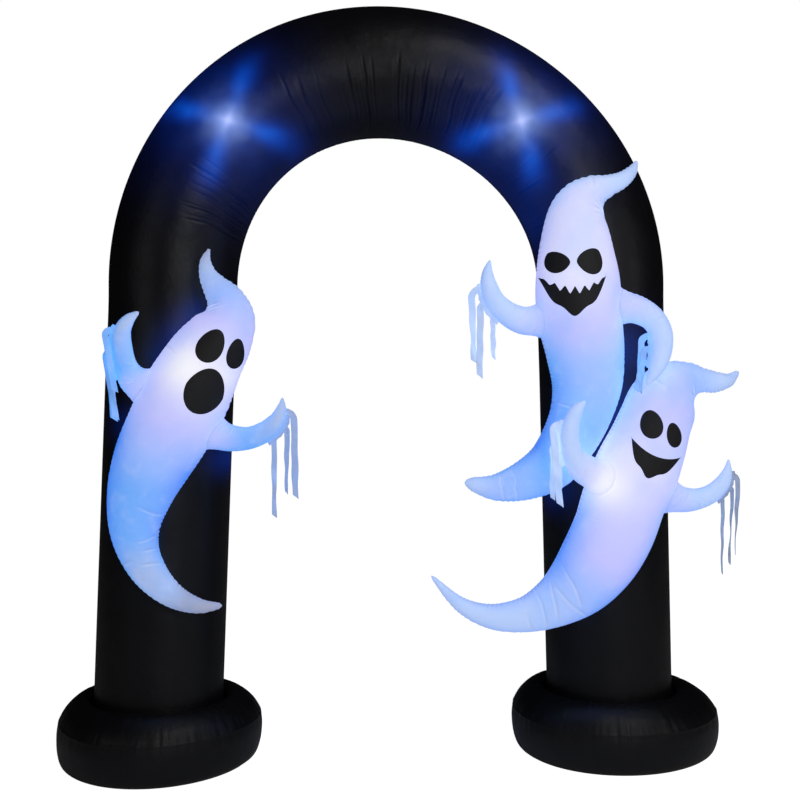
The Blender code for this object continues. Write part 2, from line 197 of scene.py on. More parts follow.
class Field:
    """Number socket of a node tree. Arithmetic on it adds Math nodes to the tree."""

    def __init__(self, tree: bpy.types.NodeTree, socket: Socket) -> None:
        """Wraps a socket of tree."""
        self.tree = tree
        self.socket = socket

    def apply(self, operation: str, other: "float | Field | None" = None) -> "Field":
        """Adds a Math node.

        Args:
            operation: Name of the node's operation.
            other: Second number, if the operation has one.

        Returns:
            The node's result.
        """
        node = self.tree.nodes.new("ShaderNodeMath")
        node.operation = operation
        self.tree.links.new(self.socket, node.inputs[0])
        if isinstance(other, Field):
            self.tree.links.new(other.socket, node.inputs[1])
        elif other is not None:
            node.inputs[1].default_value = other
        return Field(self.tree, node.outputs[0])

    def __add__(self, other: "float | Field") -> "Field":
        """Sum."""
        return self.apply("ADD", other)

    def __sub__(self, other: "float | Field") -> "Field":
        """Difference."""
        return self.apply("SUBTRACT", other)

    def __mul__(self, other: "float | Field") -> "Field":
        """Product."""
        return self.apply("MULTIPLY", other)

    def __truediv__(self, other: "float | Field") -> "Field":
        """Quotient."""
        return self.apply("DIVIDE", other)

    def bell(self, width: float, height: float = 1.0) -> "Field":
        """height at zero, falling smoothly to either side over width."""
        ratio = self / width
        return (ratio * ratio * -1.0).apply("EXPONENT") * height

    def step(self, low: float, high: float) -> "Field":
        """0 below low and 1 above high, smooth between."""
        node = self.tree.nodes.new("ShaderNodeMapRange")
        node.interpolation_type = "SMOOTHSTEP"
        node.inputs["From Min"].default_value = low
        node.inputs["From Max"].default_value = high
        self.tree.links.new(self.socket, node.inputs["Value"])
        return Field(self.tree, node.outputs["Result"])


class Tree:
    """Node tree with short calls for adding and joining nodes."""

    def __init__(self, tree: bpy.types.NodeTree) -> None:
        """Wraps a node tree."""
        self.tree = tree

    def node(self, kind: str, mode: str = "", **inputs: object) -> bpy.types.Node:
        """Adds a node.

        Args:
            kind: The node's type name.
            mode: The node's mode, if it isn't the usual one.
            inputs: Values or sockets by input name, with _ for a space.

        Returns:
            The node.
        """
        made = self.tree.nodes.new(kind)
        if mode:
            made.mode = mode
        for name, value in inputs.items():
            self.set(made.inputs[name.replace("_", " ")], value)
        return made

    def set(self, socket: Socket, value: object) -> None:
        """Joins value to socket if it is a Field or a socket, and else sets it."""
        if isinstance(value, Field):
            value = value.socket
        if isinstance(value, Socket):
            self.tree.links.new(value, socket)
        else:
            socket.default_value = value

    def field(self, socket: Socket) -> Field:
        """Field of a socket in this tree."""
        return Field(self.tree, socket)

    def axes(self, vector: Socket) -> tuple[Field, Field, Field]:
        """x, y and z of a vector socket."""
        split = self.node("ShaderNodeSeparateXYZ", Vector=vector)
        return tuple(self.field(socket) for socket in split.outputs)

    def noise(self, vector: Socket, scale: float, detail: float = 2.0) -> Field:
        """Noise texture, from 0 to 1, at scale features a metre."""
        made = self.node("ShaderNodeTexNoise", Vector=vector, Scale=scale, Detail=detail)
        return self.field(made.outputs[0])


@dataclass(frozen=True)
class Grain:
    """Noise on a finish: features a metre, detail, and depth in metres where it is relief."""

    scale: float
    detail: float
    depth: float = 0.0


class Shader(Tree):
    """Material's node tree round one Principled BSDF."""

    weave = 0.0012

    def __init__(self, name: str, roughness: float) -> None:
        """Starts a material with that roughness."""
        self.material = bpy.data.materials.new(name)
        self.material.use_nodes = True
        super().__init__(self.material.node_tree)
        self.surface = self.tree.nodes["Principled BSDF"]
        self.place = self.node("ShaderNodeTexCoord").outputs["Object"]
        self.paint(Roughness=roughness)

    def paint(self, **inputs: object) -> None:
        """Sets or joins inputs of the surface, named with _ for a space."""
        for name, value in inputs.items():
            self.set(self.surface.inputs[name.replace("_", " ")], value)

    def grain(self, grain: Grain) -> Field:
        """Noise over the piece, from 0 to 1."""
        return self.noise(self.place, grain.scale, grain.detail)

    def mix(self, share: Field, low: object, high: object) -> Socket:
        """Colour between two others.

        Args:
            share: 0 for low and 1 for high.
            low: Colour, or socket of one.
            high: Colour, or socket of one.

        Returns:
            The colour's socket.
        """
        made = self.tree.nodes.new("ShaderNodeMix")
        made.data_type = "RGBA"
        self.set(made.inputs["Factor"], share)
        for socket, value in ((made.inputs["A"], low), (made.inputs["B"], high)):
            self.set(socket, (*value, 1.0) if isinstance(value, tuple) else value)
        return made.outputs["Result"]

    def relief(self, *layers: tuple[Field, float]) -> None:
        """Adds bump.

        Args:
            layers: Height from 0 to 1 and its depth in metres, for each layer.
        """
        normal = None
        for height, depth in layers:
            bump = self.node("ShaderNodeBump", Height=height, Distance=depth)
            if normal is not None:
                self.set(bump.inputs["Normal"], normal)
            normal = bump.outputs["Normal"]
        self.paint(Normal=normal)

    def taffeta(self) -> Field:
        """Height of a plain weave whose threads run across and upright."""
        turns = math.tau / self.weave
        x, _, z = self.axes(self.place)
        return ((x * turns).apply("SINE") * (z * turns).apply("SINE")) * 0.5 + 0.5

    def cloth(self, buckles: Grain, puckers: Grain, threads: float) -> None:
        """Relief of stretched cloth: large soft buckles, small puckers and a weave that deep."""
        uneven = [(self.grain(grain), grain.depth) for grain in (buckles, puckers)]
        self.relief(*uneven, (self.taffeta(), threads))


# Finishes


@dataclass(frozen=True)
class Lamp:
    """Light inside the black tube that shines through the cloth, with its star's two streaks."""

    x: float
    z: float
    steep_angle: float
    flat_angle: float


@dataclass(frozen=True)
class Haze:
    """Soft blue light on the black cloth beside a lit ghost."""

    x: float
    z: float
    reach: float
    strength: float


LAMPS = (Lamp(-0.537, 2.227, 70.0, -16.0), Lamp(0.461, 2.236, 108.0, 16.0))
HAZES = rows(
    Haze,
    (-0.7, 1.49, 0.06, 0.12), (-0.655, 1.57, 0.055, 0.09), (-0.76, 1.42, 0.05, 0.07),
    (-0.555, 1.075, 0.06, 0.11), (-0.87, 1.19, 0.06, 0.07), (0.52, 1.9, 0.12, 0.07),
    (0.78, 1.44, 0.075, 0.13), (0.87, 1.48, 0.09, 0.06), (0.78, 1.25, 0.1, 0.11), (0.7, 1.13, 0.07, 0.09),
    (0.59, 0.96, 0.07, 0.08),
)


@dataclass(frozen=True)
class Star:
    """How a lamp shows through the black cloth, as the reach and strength of each glow."""

    bloom: tuple[float, float] = (0.22, 0.11)
    pool: tuple[float, float] = (0.1, 0.18)
    halo: tuple[float, float] = (0.078, 0.15)
    core: tuple[float, float] = (0.045, 0.13)
    heart: tuple[float, float] = (0.022, 0.11)
    streak: tuple[float, float] = (0.08, 0.38)
    streak_middle: float = 0.135
    streak_root: float = 0.022
    streak_spread: float = 0.1
    white_needle: tuple[float, float, float] = (0.02, 0.06, 0.06)
    violet_needle: tuple[float, float, float] = (0.009, 0.034, 0.07)

    def shine(self, shader: Shader, lamp: Lamp, front: Field) -> tuple[Field, Field, Field]:
        """Light of one lamp on the cloth.

        Args:
            shader: The cloth's material.
            lamp: The lamp.
            front: 1 on the front of the cloth and 0 behind.

        Returns:
            Its navy, white and violet light.
        """
        x, _, z = shader.axes(shader.place)
        run, rise = x - (lamp.x + SHIFT[0]), z - lamp.z
        away = distance(run, rise)
        cloud = shader.grain(Grain(9.0, 2.0)) * 0.9 + 0.55
        patches = shader.grain(Grain(15.0, 1.0)).step(0.25, 0.75) * 0.8 + 0.55
        navy = (away.bell(*self.bloom) + away.bell(*self.pool)) * cloud
        white = away.bell(*self.halo) * patches + away.bell(*self.core)
        violet = away.bell(*self.heart)
        for angle in (lamp.steep_angle, lamp.flat_angle):
            c, s = math.cos(math.radians(angle)), math.sin(math.radians(angle))
            along = (run * c + rise * s).apply("ABSOLUTE")
            across = rise * c - run * s
            ray = (across / (along * self.streak_spread + self.streak_root)).bell(1.0)
            navy = navy + ray * (along - self.streak_middle).bell(*self.streak) * cloud * front
            width, length, strength = self.white_needle
            white = white + across.bell(width) * along.bell(length, strength)
            width, length, strength = self.violet_needle
            violet = violet + across.bell(width) * along.bell(length, strength)
        return navy, white * front, violet * front


def distance(run: Field, rise: Field) -> Field:
    """Length of (run, rise)."""
    return (run * run + rise * rise).apply("SQRT")


@dataclass(frozen=True)
class BlackNylon:
    """Opaque black taffeta with a satin face. Lamps inside show through it as stars."""

    colour: Colour = (0.0045, 0.004, 0.0052)
    worn: Colour = (0.008, 0.0075, 0.0095)
    wear: Grain = Grain(5.0, 4.0)
    roughness: float = 0.43
    polish: Grain = Grain(9.0, 3.0)
    polish_span: float = 0.16
    gloss: float = 0.42
    buckles: Grain = Grain(7.0, 3.0, 0.006)
    puckers: Grain = Grain(42.0, 2.0, 0.0006)
    threads: float = 0.00006
    star: Star = Star()

    def material(self, lamps: Sequence[Lamp] = (), hazes: Sequence[Haze] = ()) -> Finish:
        """Builds the finish.

        Args:
            lamps: Lamps that show through as stars.
            hazes: Soft blue light on the cloth.

        Returns:
            The material.
        """
        shader = Shader("black_nylon" if lamps else "plain_black_nylon", self.roughness)
        low = self.roughness - self.polish_span / 2.0
        shader.paint(
            Base_Color=shader.mix(shader.grain(self.wear), self.colour, self.worn),
            Roughness=shader.grain(self.polish) * self.polish_span + low,
            Specular_IOR_Level=self.gloss,
        )
        shader.cloth(self.buckles, self.puckers, self.threads)
        if lamps:
            self.light(shader, lamps, hazes)
        return shader.material

    def light(self, shader: Shader, lamps: Sequence[Lamp], hazes: Sequence[Haze]) -> None:
        """Paints the stars and the blue haze as light of the cloth's own.

        Args:
            shader: The cloth's material.
            lamps: Lamps that show through as stars.
            hazes: Soft blue light.
        """
        x, y, z = shader.axes(shader.place)
        front = (y - SHIFT[1]).step(0.08, -0.08)
        navy, white, violet = x * 0.0, x * 0.0, x * 0.0
        for haze in hazes:
            away = distance(x - (haze.x + SHIFT[0]), z - haze.z)
            navy = navy + away.bell(haze.reach, haze.strength) * front
        for lamp in lamps:
            glows = self.star.shine(shader, lamp, front)
            navy, white, violet = navy + glows[0], white + glows[1], violet + glows[2]
        colour = shader.node(
            "ShaderNodeCombineColor",
            Red=white * 0.62 + violet * 0.92,
            Green=white * 0.86 + violet * 0.8 + navy * (navy * 0.12 + 0.078),
            Blue=white * 1.35 + violet * 1.15 + navy,
        )
        shader.paint(Emission_Color=colour.outputs["Color"], Emission_Strength=1.0)


@dataclass(frozen=True)
class GhostNylon:
    """Thin white taffeta. The light of the lamps inside it is the mesh's glow attribute."""

    cloth: Colour = (0.66, 0.68, 0.74)
    cloud: Colour = (0.26, 0.45, 0.92)
    streak: Colour = (0.62, 0.66, 0.96)
    roughness: float = 0.48
    polish: Grain = Grain(16.0, 3.0)
    polish_span: float = 0.14
    gloss: float = 0.35
    shine: float = 0.82
    buckles: Grain = Grain(13.0, 3.0, 0.006)
    puckers: Grain = Grain(70.0, 2.0, 0.0006)
    threads: float = 0.00005

    def material(self) -> Finish:
        """Builds the finish.

        Returns:
            The material.
        """
        shader = Shader("ghost_nylon", self.roughness)
        glow = shader.node("ShaderNodeAttribute")
        glow.attribute_name = "glow"
        clouds = shader.grain(Grain(7.0, 3.0)).step(0.42, 0.72)
        light = shader.mix(clouds * 0.3, glow.outputs["Color"], self.cloud)
        streaks = shader.grain(Grain(23.0, 4.0)).step(0.5, 0.78)
        light = shader.mix(streaks * 0.16, light, self.streak)
        low = self.roughness - self.polish_span / 2.0
        # The base colour takes up to 0.4 of the painted glow's tint in cloudy patches, over the cloth's
        # own white.
        shader.paint(
            Base_Color=shader.mix(clouds * 0.4, self.cloth, light),
            Roughness=shader.grain(self.polish) * self.polish_span + low,
            Specular_IOR_Level=self.gloss,
            Emission_Color=light,
            Emission_Strength=self.shine,
        )
        shader.cloth(self.buckles, self.puckers, self.threads)
        return shader.material


@dataclass(frozen=True)
class Ink:
    """Matt charcoal print on the ghosts' cloth."""

    colour: Colour = (0.016, 0.016, 0.018)
    roughness: float = 0.62
    mottle: Grain = Grain(120.0, 3.0, 0.0001)
    threads: float = 0.00005

    def material(self) -> Finish:
        """Builds the finish.

        Returns:
            The material.
        """
        shader = Shader("charcoal_ink", self.roughness)
        mottle = shader.grain(self.mottle)
        lighter = tuple(1.7 * value for value in self.colour)
        shader.paint(Base_Color=shader.mix(mottle, self.colour, lighter))
        shader.relief((shader.taffeta(), self.threads), (mottle, self.mottle.depth))
        return shader.material


@dataclass(frozen=True)
class Thread:
    """Spun sewing thread. Its shine is a painted glow, for thread on cloth lit from inside."""

    name: str
    colour: Colour
    shine: float
    roughness: float = 0.55
    twist: Grain = Grain(1500.0, 1.0, 0.0001)

    def material(self) -> Finish:
        """Builds the finish.

        Returns:
            The material.
        """
        shader = Shader(self.name, self.roughness)
        twist = shader.grain(self.twist)
        darker = tuple(0.7 * value for value in self.colour)
        tone = shader.mix(twist, darker, self.colour)
        # Painted glow: the thread gives off light in its own tone at the shine's strength.
        shader.paint(Base_Color=tone, Emission_Color=tone, Emission_Strength=self.shine)
        shader.relief((twist, self.twist.depth))
        return shader.material


# Meshes


def linked(name: str, data: bpy.types.ID) -> Piece:
    """New object in the scene."""
    made = bpy.data.objects.new(name, data)
    bpy.context.scene.collection.objects.link(made)
    return made


def reshaped(mesh: bpy.types.Mesh, change: Callable[[bmesh.types.BMesh], object]) -> None:
    """Runs a change of bmesh on a mesh."""
    bm = bmesh.new()
    bm.from_mesh(mesh)
    change(bm)
    bm.to_mesh(mesh)
    bm.free()


def mesh_object(
    name: str, points: Points, faces: Sequence[Sequence[int]], material: Finish,
    glow: Points | None = None,
) -> Piece:
    """Object from points in the tables' frame, its faces turned outwards.

    Args:
        name: The piece's name.
        points: One row a point.
        faces: Point numbers of each face.
        material: Its finish.
        glow: One colour a point, for cloth that is lit from inside.

    Returns:
        The object, at the origin.
    """
    mesh = bpy.data.meshes.new(name)
    mesh.from_pydata((points + SHIFT).tolist(), [], faces)
    if glow is not None:
        colours = np.concatenate([glow, np.ones((len(glow), 1))], 1).astype(np.float32)
        layer = mesh.attributes.new("glow", "FLOAT_COLOR", "POINT")
        layer.data.foreach_set("color", colours.ravel())
    reshaped(mesh, lambda bm: bmesh.ops.recalc_face_normals(bm, faces=bm.faces))
    mesh.shade_smooth()
    mesh.materials.append(material)
    return linked(name, mesh)


def curve_object(name: str, lines: Sequence[Points], radii: Sequence[float] | None = None) -> Piece:
    """Curve of straight pieces.

    Args:
        name: The curve's name.
        lines: Points of each line, in the tables' frame.
        radii: One radius a point, if it has any.

    Returns:
        The curve, at the origin.
    """
    curve = bpy.data.curves.new(name, "CURVE")
    curve.dimensions = "3D"
    for line in lines:
        spline = curve.splines.new("POLY")
        spline.points.add(len(line) - 1)
        placed = np.concatenate([line + SHIFT, np.ones((len(line), 1))], 1)
        spline.points.foreach_set("co", placed.ravel())
        if radii is not None:
            spline.points.foreach_set("radius", radii)
    return linked(name, curve)


def baked(name: str, source: Piece) -> Piece:
    """Plain mesh object from source as its modifiers leave it. The source is removed."""
    graph = bpy.context.evaluated_depsgraph_get()
    mesh = bpy.data.meshes.new_from_object(source.evaluated_get(graph))
    bpy.data.objects.remove(source)
    mesh.name = name
    return linked(name, mesh)


def fit(piece: Piece, slot: Slot, *nodes: str) -> Piece:
    """Fixes a piece to the arch.

    Args:
        piece: The finished piece.
        slot: The record's material slot. It is not used.
        nodes: Solids that it stands for.

    Returns:
        The piece.
    """
    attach(piece, BODY)
    if nodes:
        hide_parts(*nodes)
    LOG.info("%s: %d faces", piece.name, len(piece.data.polygons))
    return piece


def fit_filled(piece: Piece, slot: Slot, node: str) -> Piece:
    """Fixes a tightly filled piece to the arch in place of its solid."""
    fit(piece, slot, node)
    return piece


def sheet_faces(rows: int, columns: int, wrap: bool) -> Faces:
    """Quads over a grid of points.

    Args:
        rows: Rows of points.
        columns: Points in a row.
        wrap: Whether a row's last point joins its first.

    Returns:
        Point numbers of each quad.
    """
    spans = columns if wrap else columns - 1
    return [
        (
            row * columns + column,
            (row + 1) * columns + column,
            (row + 1) * columns + (column + 1) % columns,
            row * columns + (column + 1) % columns,
        )
        for row in range(rows - 1)
        for column in range(spans)
    ]


def capped_faces(rows: int, columns: int) -> Faces:
    """Quads over wrapped rows, and a fan to each pole.

    Args:
        rows: Rows of points.
        columns: Points in a row.

    Returns:
        Point numbers of each face, with the two poles' points after the grid's.
    """
    first, last = rows * columns, rows * columns + 1
    base = (rows - 1) * columns
    faces = sheet_faces(rows, columns, True)
    faces += [(i, (i + 1) % columns, first) for i in range(columns)]
    faces += [(base + (i + 1) % columns, base + i, last) for i in range(columns)]
    return faces


def smooth(rows: Points, shares: Points) -> Points:
    """Smooth curve through rows.

    Args:
        rows: One row a station.
        shares: Places along the curve, from 0 to 1.

    Returns:
        One row a place.
    """
    last = len(rows) - 1
    t = np.clip(shares, 0.0, 1.0) * last
    i = np.minimum(t.astype(int), last - 1)
    u = (t - i)[:, None]
    start, end = rows[i], rows[i + 1]
    leave = (end - rows[np.maximum(i - 1, 0)]) / 2.0
    arrive = (rows[np.minimum(i + 2, last)] - start) / 2.0
    return (
        (2 * u**3 - 3 * u**2 + 1) * start
        + (u**3 - 2 * u**2 + u) * leave
        + (3 * u**2 - 2 * u**3) * end
        + (u**3 - u**2) * arrive
    )


def wander(values: Points, seed: int) -> Points:
    """Uneven smooth wave.

    Args:
        values: Where it is read.
        seed: Picks the wave.

    Returns:
        Its height there, between -1 and 1.
    """
    draw = np.random.default_rng(seed)
    speeds = draw.uniform(0.5, 2.3, 5)
    phases = draw.uniform(0.0, math.tau, 5)
    total = sum(np.sin(values * speed + phase) for speed, phase in zip(speeds, phases))
    return np.clip(total / 3.0, -1.0, 1.0)


def uneven(values: Points, seed: int, least: float) -> Points:
    """Uneven smooth wave between least and 1."""
    return least + (1.0 - least) * (0.5 + 0.5 * wander(values, seed))


def pleats(phase: Points, sharpness: float) -> Points:
    """Rounded waves from 0 to 1, one for each whole phase, slimmer the sharper."""
    return (0.5 - 0.5 * np.cos(math.tau * phase)) ** sharpness


def hump(values: Points, reach: float, power: float = 2.0) -> Points:
    """1 at zero, falling to either side over reach, more squarely the higher the power."""
    return np.exp(-(np.abs(values / reach) ** power))


def turned(angles: Points, middle: float) -> Points:
    """Angles counted from middle, between -pi and pi."""
    return (angles - middle + math.pi) % math.tau - math.pi


def unit(vectors: Points) -> Points:
    """Vectors scaled to length 1."""
    return vectors / np.maximum(np.linalg.norm(vectors, axis=-1, keepdims=True), 1e-9)


class Former(Tree):
    """Geometry Nodes tree that makes a piece along a path, with named inputs."""

    def __init__(self, name: str, inputs: dict[str, str]) -> None:
        """Starts the tree.

        Args:
            name: The tree's name.
            inputs: Kind of socket by input name. Finish, a material, comes by itself.
        """
        super().__init__(bpy.data.node_groups.new(name, "GeometryNodeTree"))
        face = self.tree.interface
        for way, socket in (("INPUT", "Path"), ("OUTPUT", "Piece")):
            face.new_socket(socket, in_out=way, socket_type="NodeSocketGeometry")
        self.keys = {
            key: face.new_socket(key, in_out="INPUT", socket_type=f"NodeSocket{kind}").identifier
            for key, kind in (inputs | {"Finish": "Material"}).items()
        }
        self.given = self.node("NodeGroupInput").outputs

    def number(self, name: str) -> Field:
        """Field of a named input."""
        return self.field(self.given[name])

    def finish(self, geometry: Socket) -> None:
        """Ends the tree with the instances realized and the finish set."""
        real = self.node("GeometryNodeRealizeInstances", Geometry=geometry).outputs["Geometry"]
        dyed = self.node("GeometryNodeSetMaterial", Geometry=real, Material=self.given["Finish"])
        self.node("NodeGroupOutput", Piece=dyed.outputs["Geometry"])

    def form(self, name: str, path: Piece, **values: object) -> Piece:
        """Runs the tree on a path.

        Args:
            name: The piece's name.
            path: The path, which is removed.
            values: Inputs by name, with _ for a space.

        Returns:
            The result, as a plain mesh.
        """
        modifier = path.modifiers.new(self.tree.name, "NODES")
        modifier.node_group = self.tree
        for key, value in values.items():
            modifier[self.keys[key.replace("_", " ")]] = value
        return baked(name, path)


# Sewing


class Stitching(Former):
    """Stitches laid along seam lines."""

    pitch = 0.0075
    length = 0.0045
    thickness = 0.0011
    sides = 5

    def __init__(self) -> None:
        """Builds the tree once."""
        super().__init__("stitches", {"Pitch": "Float", "Length": "Float", "Thickness": "Float"})
        given = self.given
        spots = self.node(
            "GeometryNodeCurveToPoints", "LENGTH", Curve=given["Path"], Length=given["Pitch"]
        )
        stitch = self.node(
            "GeometryNodeMeshCylinder",
            Vertices=self.sides, Radius=self.number("Thickness") * 0.5, Depth=given["Length"],
        )
        turn = self.node("FunctionNodeAlignRotationToVector", Vector=spots.outputs["Tangent"])
        turn.axis = "Z"
        laid = self.node(
            "GeometryNodeInstanceOnPoints",
            Points=spots.outputs["Points"],
            Instance=stitch.outputs["Mesh"],
            Rotation=turn.outputs["Rotation"],
        )
        self.finish(laid.outputs["Instances"])

    def sew(self, name: str, lines: Sequence[Points], thread: Finish, slot: Slot) -> Piece:
        """Sews along lines.

        Args:
            name: The piece's name.
            lines: Seam lines, in the tables' frame.
            thread: The thread's finish.
            slot: The record's material slot.

        Returns:
            All the stitches as one piece.
        """
        sizes = {"Pitch": self.pitch, "Length": self.length, "Thickness": self.thickness}
        seam = curve_object(f"{name}_line", lines)
        return fit(self.form(name, seam, Finish=thread, **sizes), slot)


# Arch tube


@dataclass(frozen=True)
class CreaseCluster:
    """Where the tube's gathers bunch: degrees right of the top, spread in degrees, strength."""

    angle: float
    spread: float
    strength: float


@dataclass(frozen=True)
class CreaseSet:
    """Valleys of one spacing: apart in pitches, width as a share of that, share of the depth."""

    pitches: float
    width: float
    share: float


@dataclass
class ArchTube:
    """Black tube of the arch, gathered along the inner side of its half circle."""

    form: ArchForm
    sides: int = 88
    leg_steps: int = 70
    arc_steps: int = 700
    foot_z: float = -0.04
    crease_depth: float = 0.0085
    crease_pitch: float = 0.022
    seam_start_z: float = 0.24
    seam_lift: float = 0.0003
    sets: tuple[CreaseSet, ...] = rows(CreaseSet, (2.1, 0.1, 1.0), (1.0, 0.15, 0.7), (0.7, 0.2, 0.4))
    clusters: tuple[CreaseCluster, ...] = rows(
        CreaseCluster,
        (-66.0, 9.0, 0.9), (-26.0, 8.0, 0.55), (-9.0, 7.0, 0.95), (6.0, 6.0, 1.0), (23.0, 10.0, 1.0),
        (47.0, 7.0, 0.6), (70.0, 12.0, 0.35),
    )

    def path(self) -> tuple[Points, list[float]]:
        """Centre line from the left foot to the right one.

        Returns:
            Its points, and the tube's radius at each.
        """
        form = self.form
        heights = np.linspace(self.foot_z, form.spring_z, self.leg_steps, endpoint=False)
        turns = [math.pi * i / self.arc_steps for i in range(self.arc_steps + 1)]
        middles, radii = zip(*(form.crown_middle(turn) for turn in turns))
        left = form.leg_middle(form.left, heights)
        right = form.leg_middle(form.right, heights)[::-1]
        legs = [form.leg_radius] * self.leg_steps
        return np.concatenate([left, np.array(middles), right]), legs + list(radii) + legs

    def former(self) -> Former:
        """Tree that sweeps the tube along its path, gathers it and stands it on the floor."""
        sizes = ("Middle X", "Spring Z", "Bend Radius", "Tube Radius", "Crease Depth", "Crease Pitch")
        tree = Former("arch_tube_form", {"Sides": "Int"} | dict.fromkeys(sizes, "Float"))
        ring = tree.node("GeometryNodeCurvePrimitiveCircle", Resolution=tree.given["Sides"], Radius=1.0)
        radius = tree.node("GeometryNodeInputRadius").outputs["Radius"]
        swept = tree.node(
            "GeometryNodeCurveToMesh",
            Curve=tree.given["Path"], Profile_Curve=ring.outputs["Curve"], Scale=radius,
            Fill_Caps=True,
        )
        place = tree.node("GeometryNodeInputPosition").outputs["Position"]
        inward = tree.tree.nodes.new("ShaderNodeVectorMath")
        inward.operation = "SCALE"
        tree.set(inward.inputs[0], tree.node("GeometryNodeInputNormal").outputs["Normal"])
        tree.set(inward.inputs["Scale"], self.gathers(tree, place) * -1.0)
        gathered = tree.node(
            "GeometryNodeSetPosition", Geometry=swept.outputs["Mesh"], Offset=inward.outputs["Vector"]
        )
        x, y, z = tree.axes(place)
        grounded = tree.node("ShaderNodeCombineXYZ", X=x, Y=y, Z=z.apply("MAXIMUM", 0.0))
        stood = tree.node(
            "GeometryNodeSetPosition",
            Geometry=gathered.outputs["Geometry"], Position=grounded.outputs["Vector"],
        )
        soft = tree.node("GeometryNodeSetShadeSmooth", Geometry=stood.outputs["Geometry"])
        tree.finish(soft.outputs["Geometry"])
        return tree

    def gathers(self, tree: Former, place: Socket) -> Field:
        """Depth of the gathers: thin valleys across the tube, deepest on its inner side.

        Args:
            tree: The tree to add nodes to.
            place: Position socket.

        Returns:
            Depth at each point.
        """
        x, _, z = tree.axes(place)
        run = x - tree.number("Middle X")
        rise = z - tree.number("Spring Z")
        inner = (tree.number("Bend Radius") - distance(run, rise)) / tree.number("Tube Radius")
        angle = run.apply("ARCTAN2", rise)
        bunched = angle * 0.0 + 0.06
        for cluster in self.clusters:
            away = angle - math.radians(cluster.angle)
            near = away.bell(math.radians(cluster.spread), cluster.strength)
            bunched = bunched.apply("MAXIMUM", near)
        drift = tree.noise(place, 5.0, 1.0) - 0.5
        along = angle * tree.number("Bend Radius") + drift * inner * 0.1
        depth = angle * 0.0
        for crease in self.sets:
            cells = tree.node("ShaderNodeTexVoronoi", Scale=1.0)
            cells.voronoi_dimensions = "1D"
            tree.set(cells.inputs["W"], along / (tree.number("Crease Pitch") * crease.pitches))
            chance, top, dent = tree.axes(cells.outputs["Color"])
            there = (chance + bunched).step(1.0, 1.25)
            side = (inner - (top * 0.7 - 0.14)).step(-0.04, 0.22)
            valley = tree.field(cells.outputs["Distance"]).bell(crease.width, crease.share)
            depth = depth + valley * there * side * (dent * 0.7 + 0.3)
        under = (inner.step(0.78, 1.0) * -0.93) + 1.0
        above = rise.step(-0.12, 0.1)
        return depth * under * above * tree.number("Crease Depth")

    def build(self, cloth: Finish) -> Piece:
        """Makes the tube as one mesh.

        Args:
            cloth: Its finish.

        Returns:
            The tube.
        """
        form = self.form
        middles, radii = self.path()
        made = self.former().form(
            "arch_cloth",
            curve_object("arch_path", [middles], radii),
            Sides=self.sides,
            Middle_X=form.middle_x + SHIFT[0],
            Spring_Z=form.spring_z,
            Bend_Radius=form.spring_x,
            Tube_Radius=form.crown_radius,
            Crease_Depth=self.crease_depth,
            Crease_Pitch=self.crease_pitch,
            Finish=cloth,
        )
        return fit_filled(made, Slot.BLACK, "arch_tube")

    def seams(self) -> list[Points]:
        """Long seams on the tube's outer and inner edges."""
        middles, radii = self.path()
        above = middles[:, 2] > self.seam_start_z
        tangent = unit(np.gradient(middles, axis=0))
        outward = unit(np.cross(UPRIGHT_NORMAL, tangent))
        reach = np.array(radii)[:, None] + self.seam_lift
        return [(middles + outward * reach * side)[above] for side in (1.0, -1.0)]


# Ring bases


@dataclass(frozen=True)
class Turn:
    """Point of the ring base's profile."""

    radius: float
    z: float


@dataclass(frozen=True)
class Gather:
    """Row of pleats along a seam: apart, how far they run from it, depth, and wave."""

    pitch: float
    reach: float
    depth: float
    wave: int


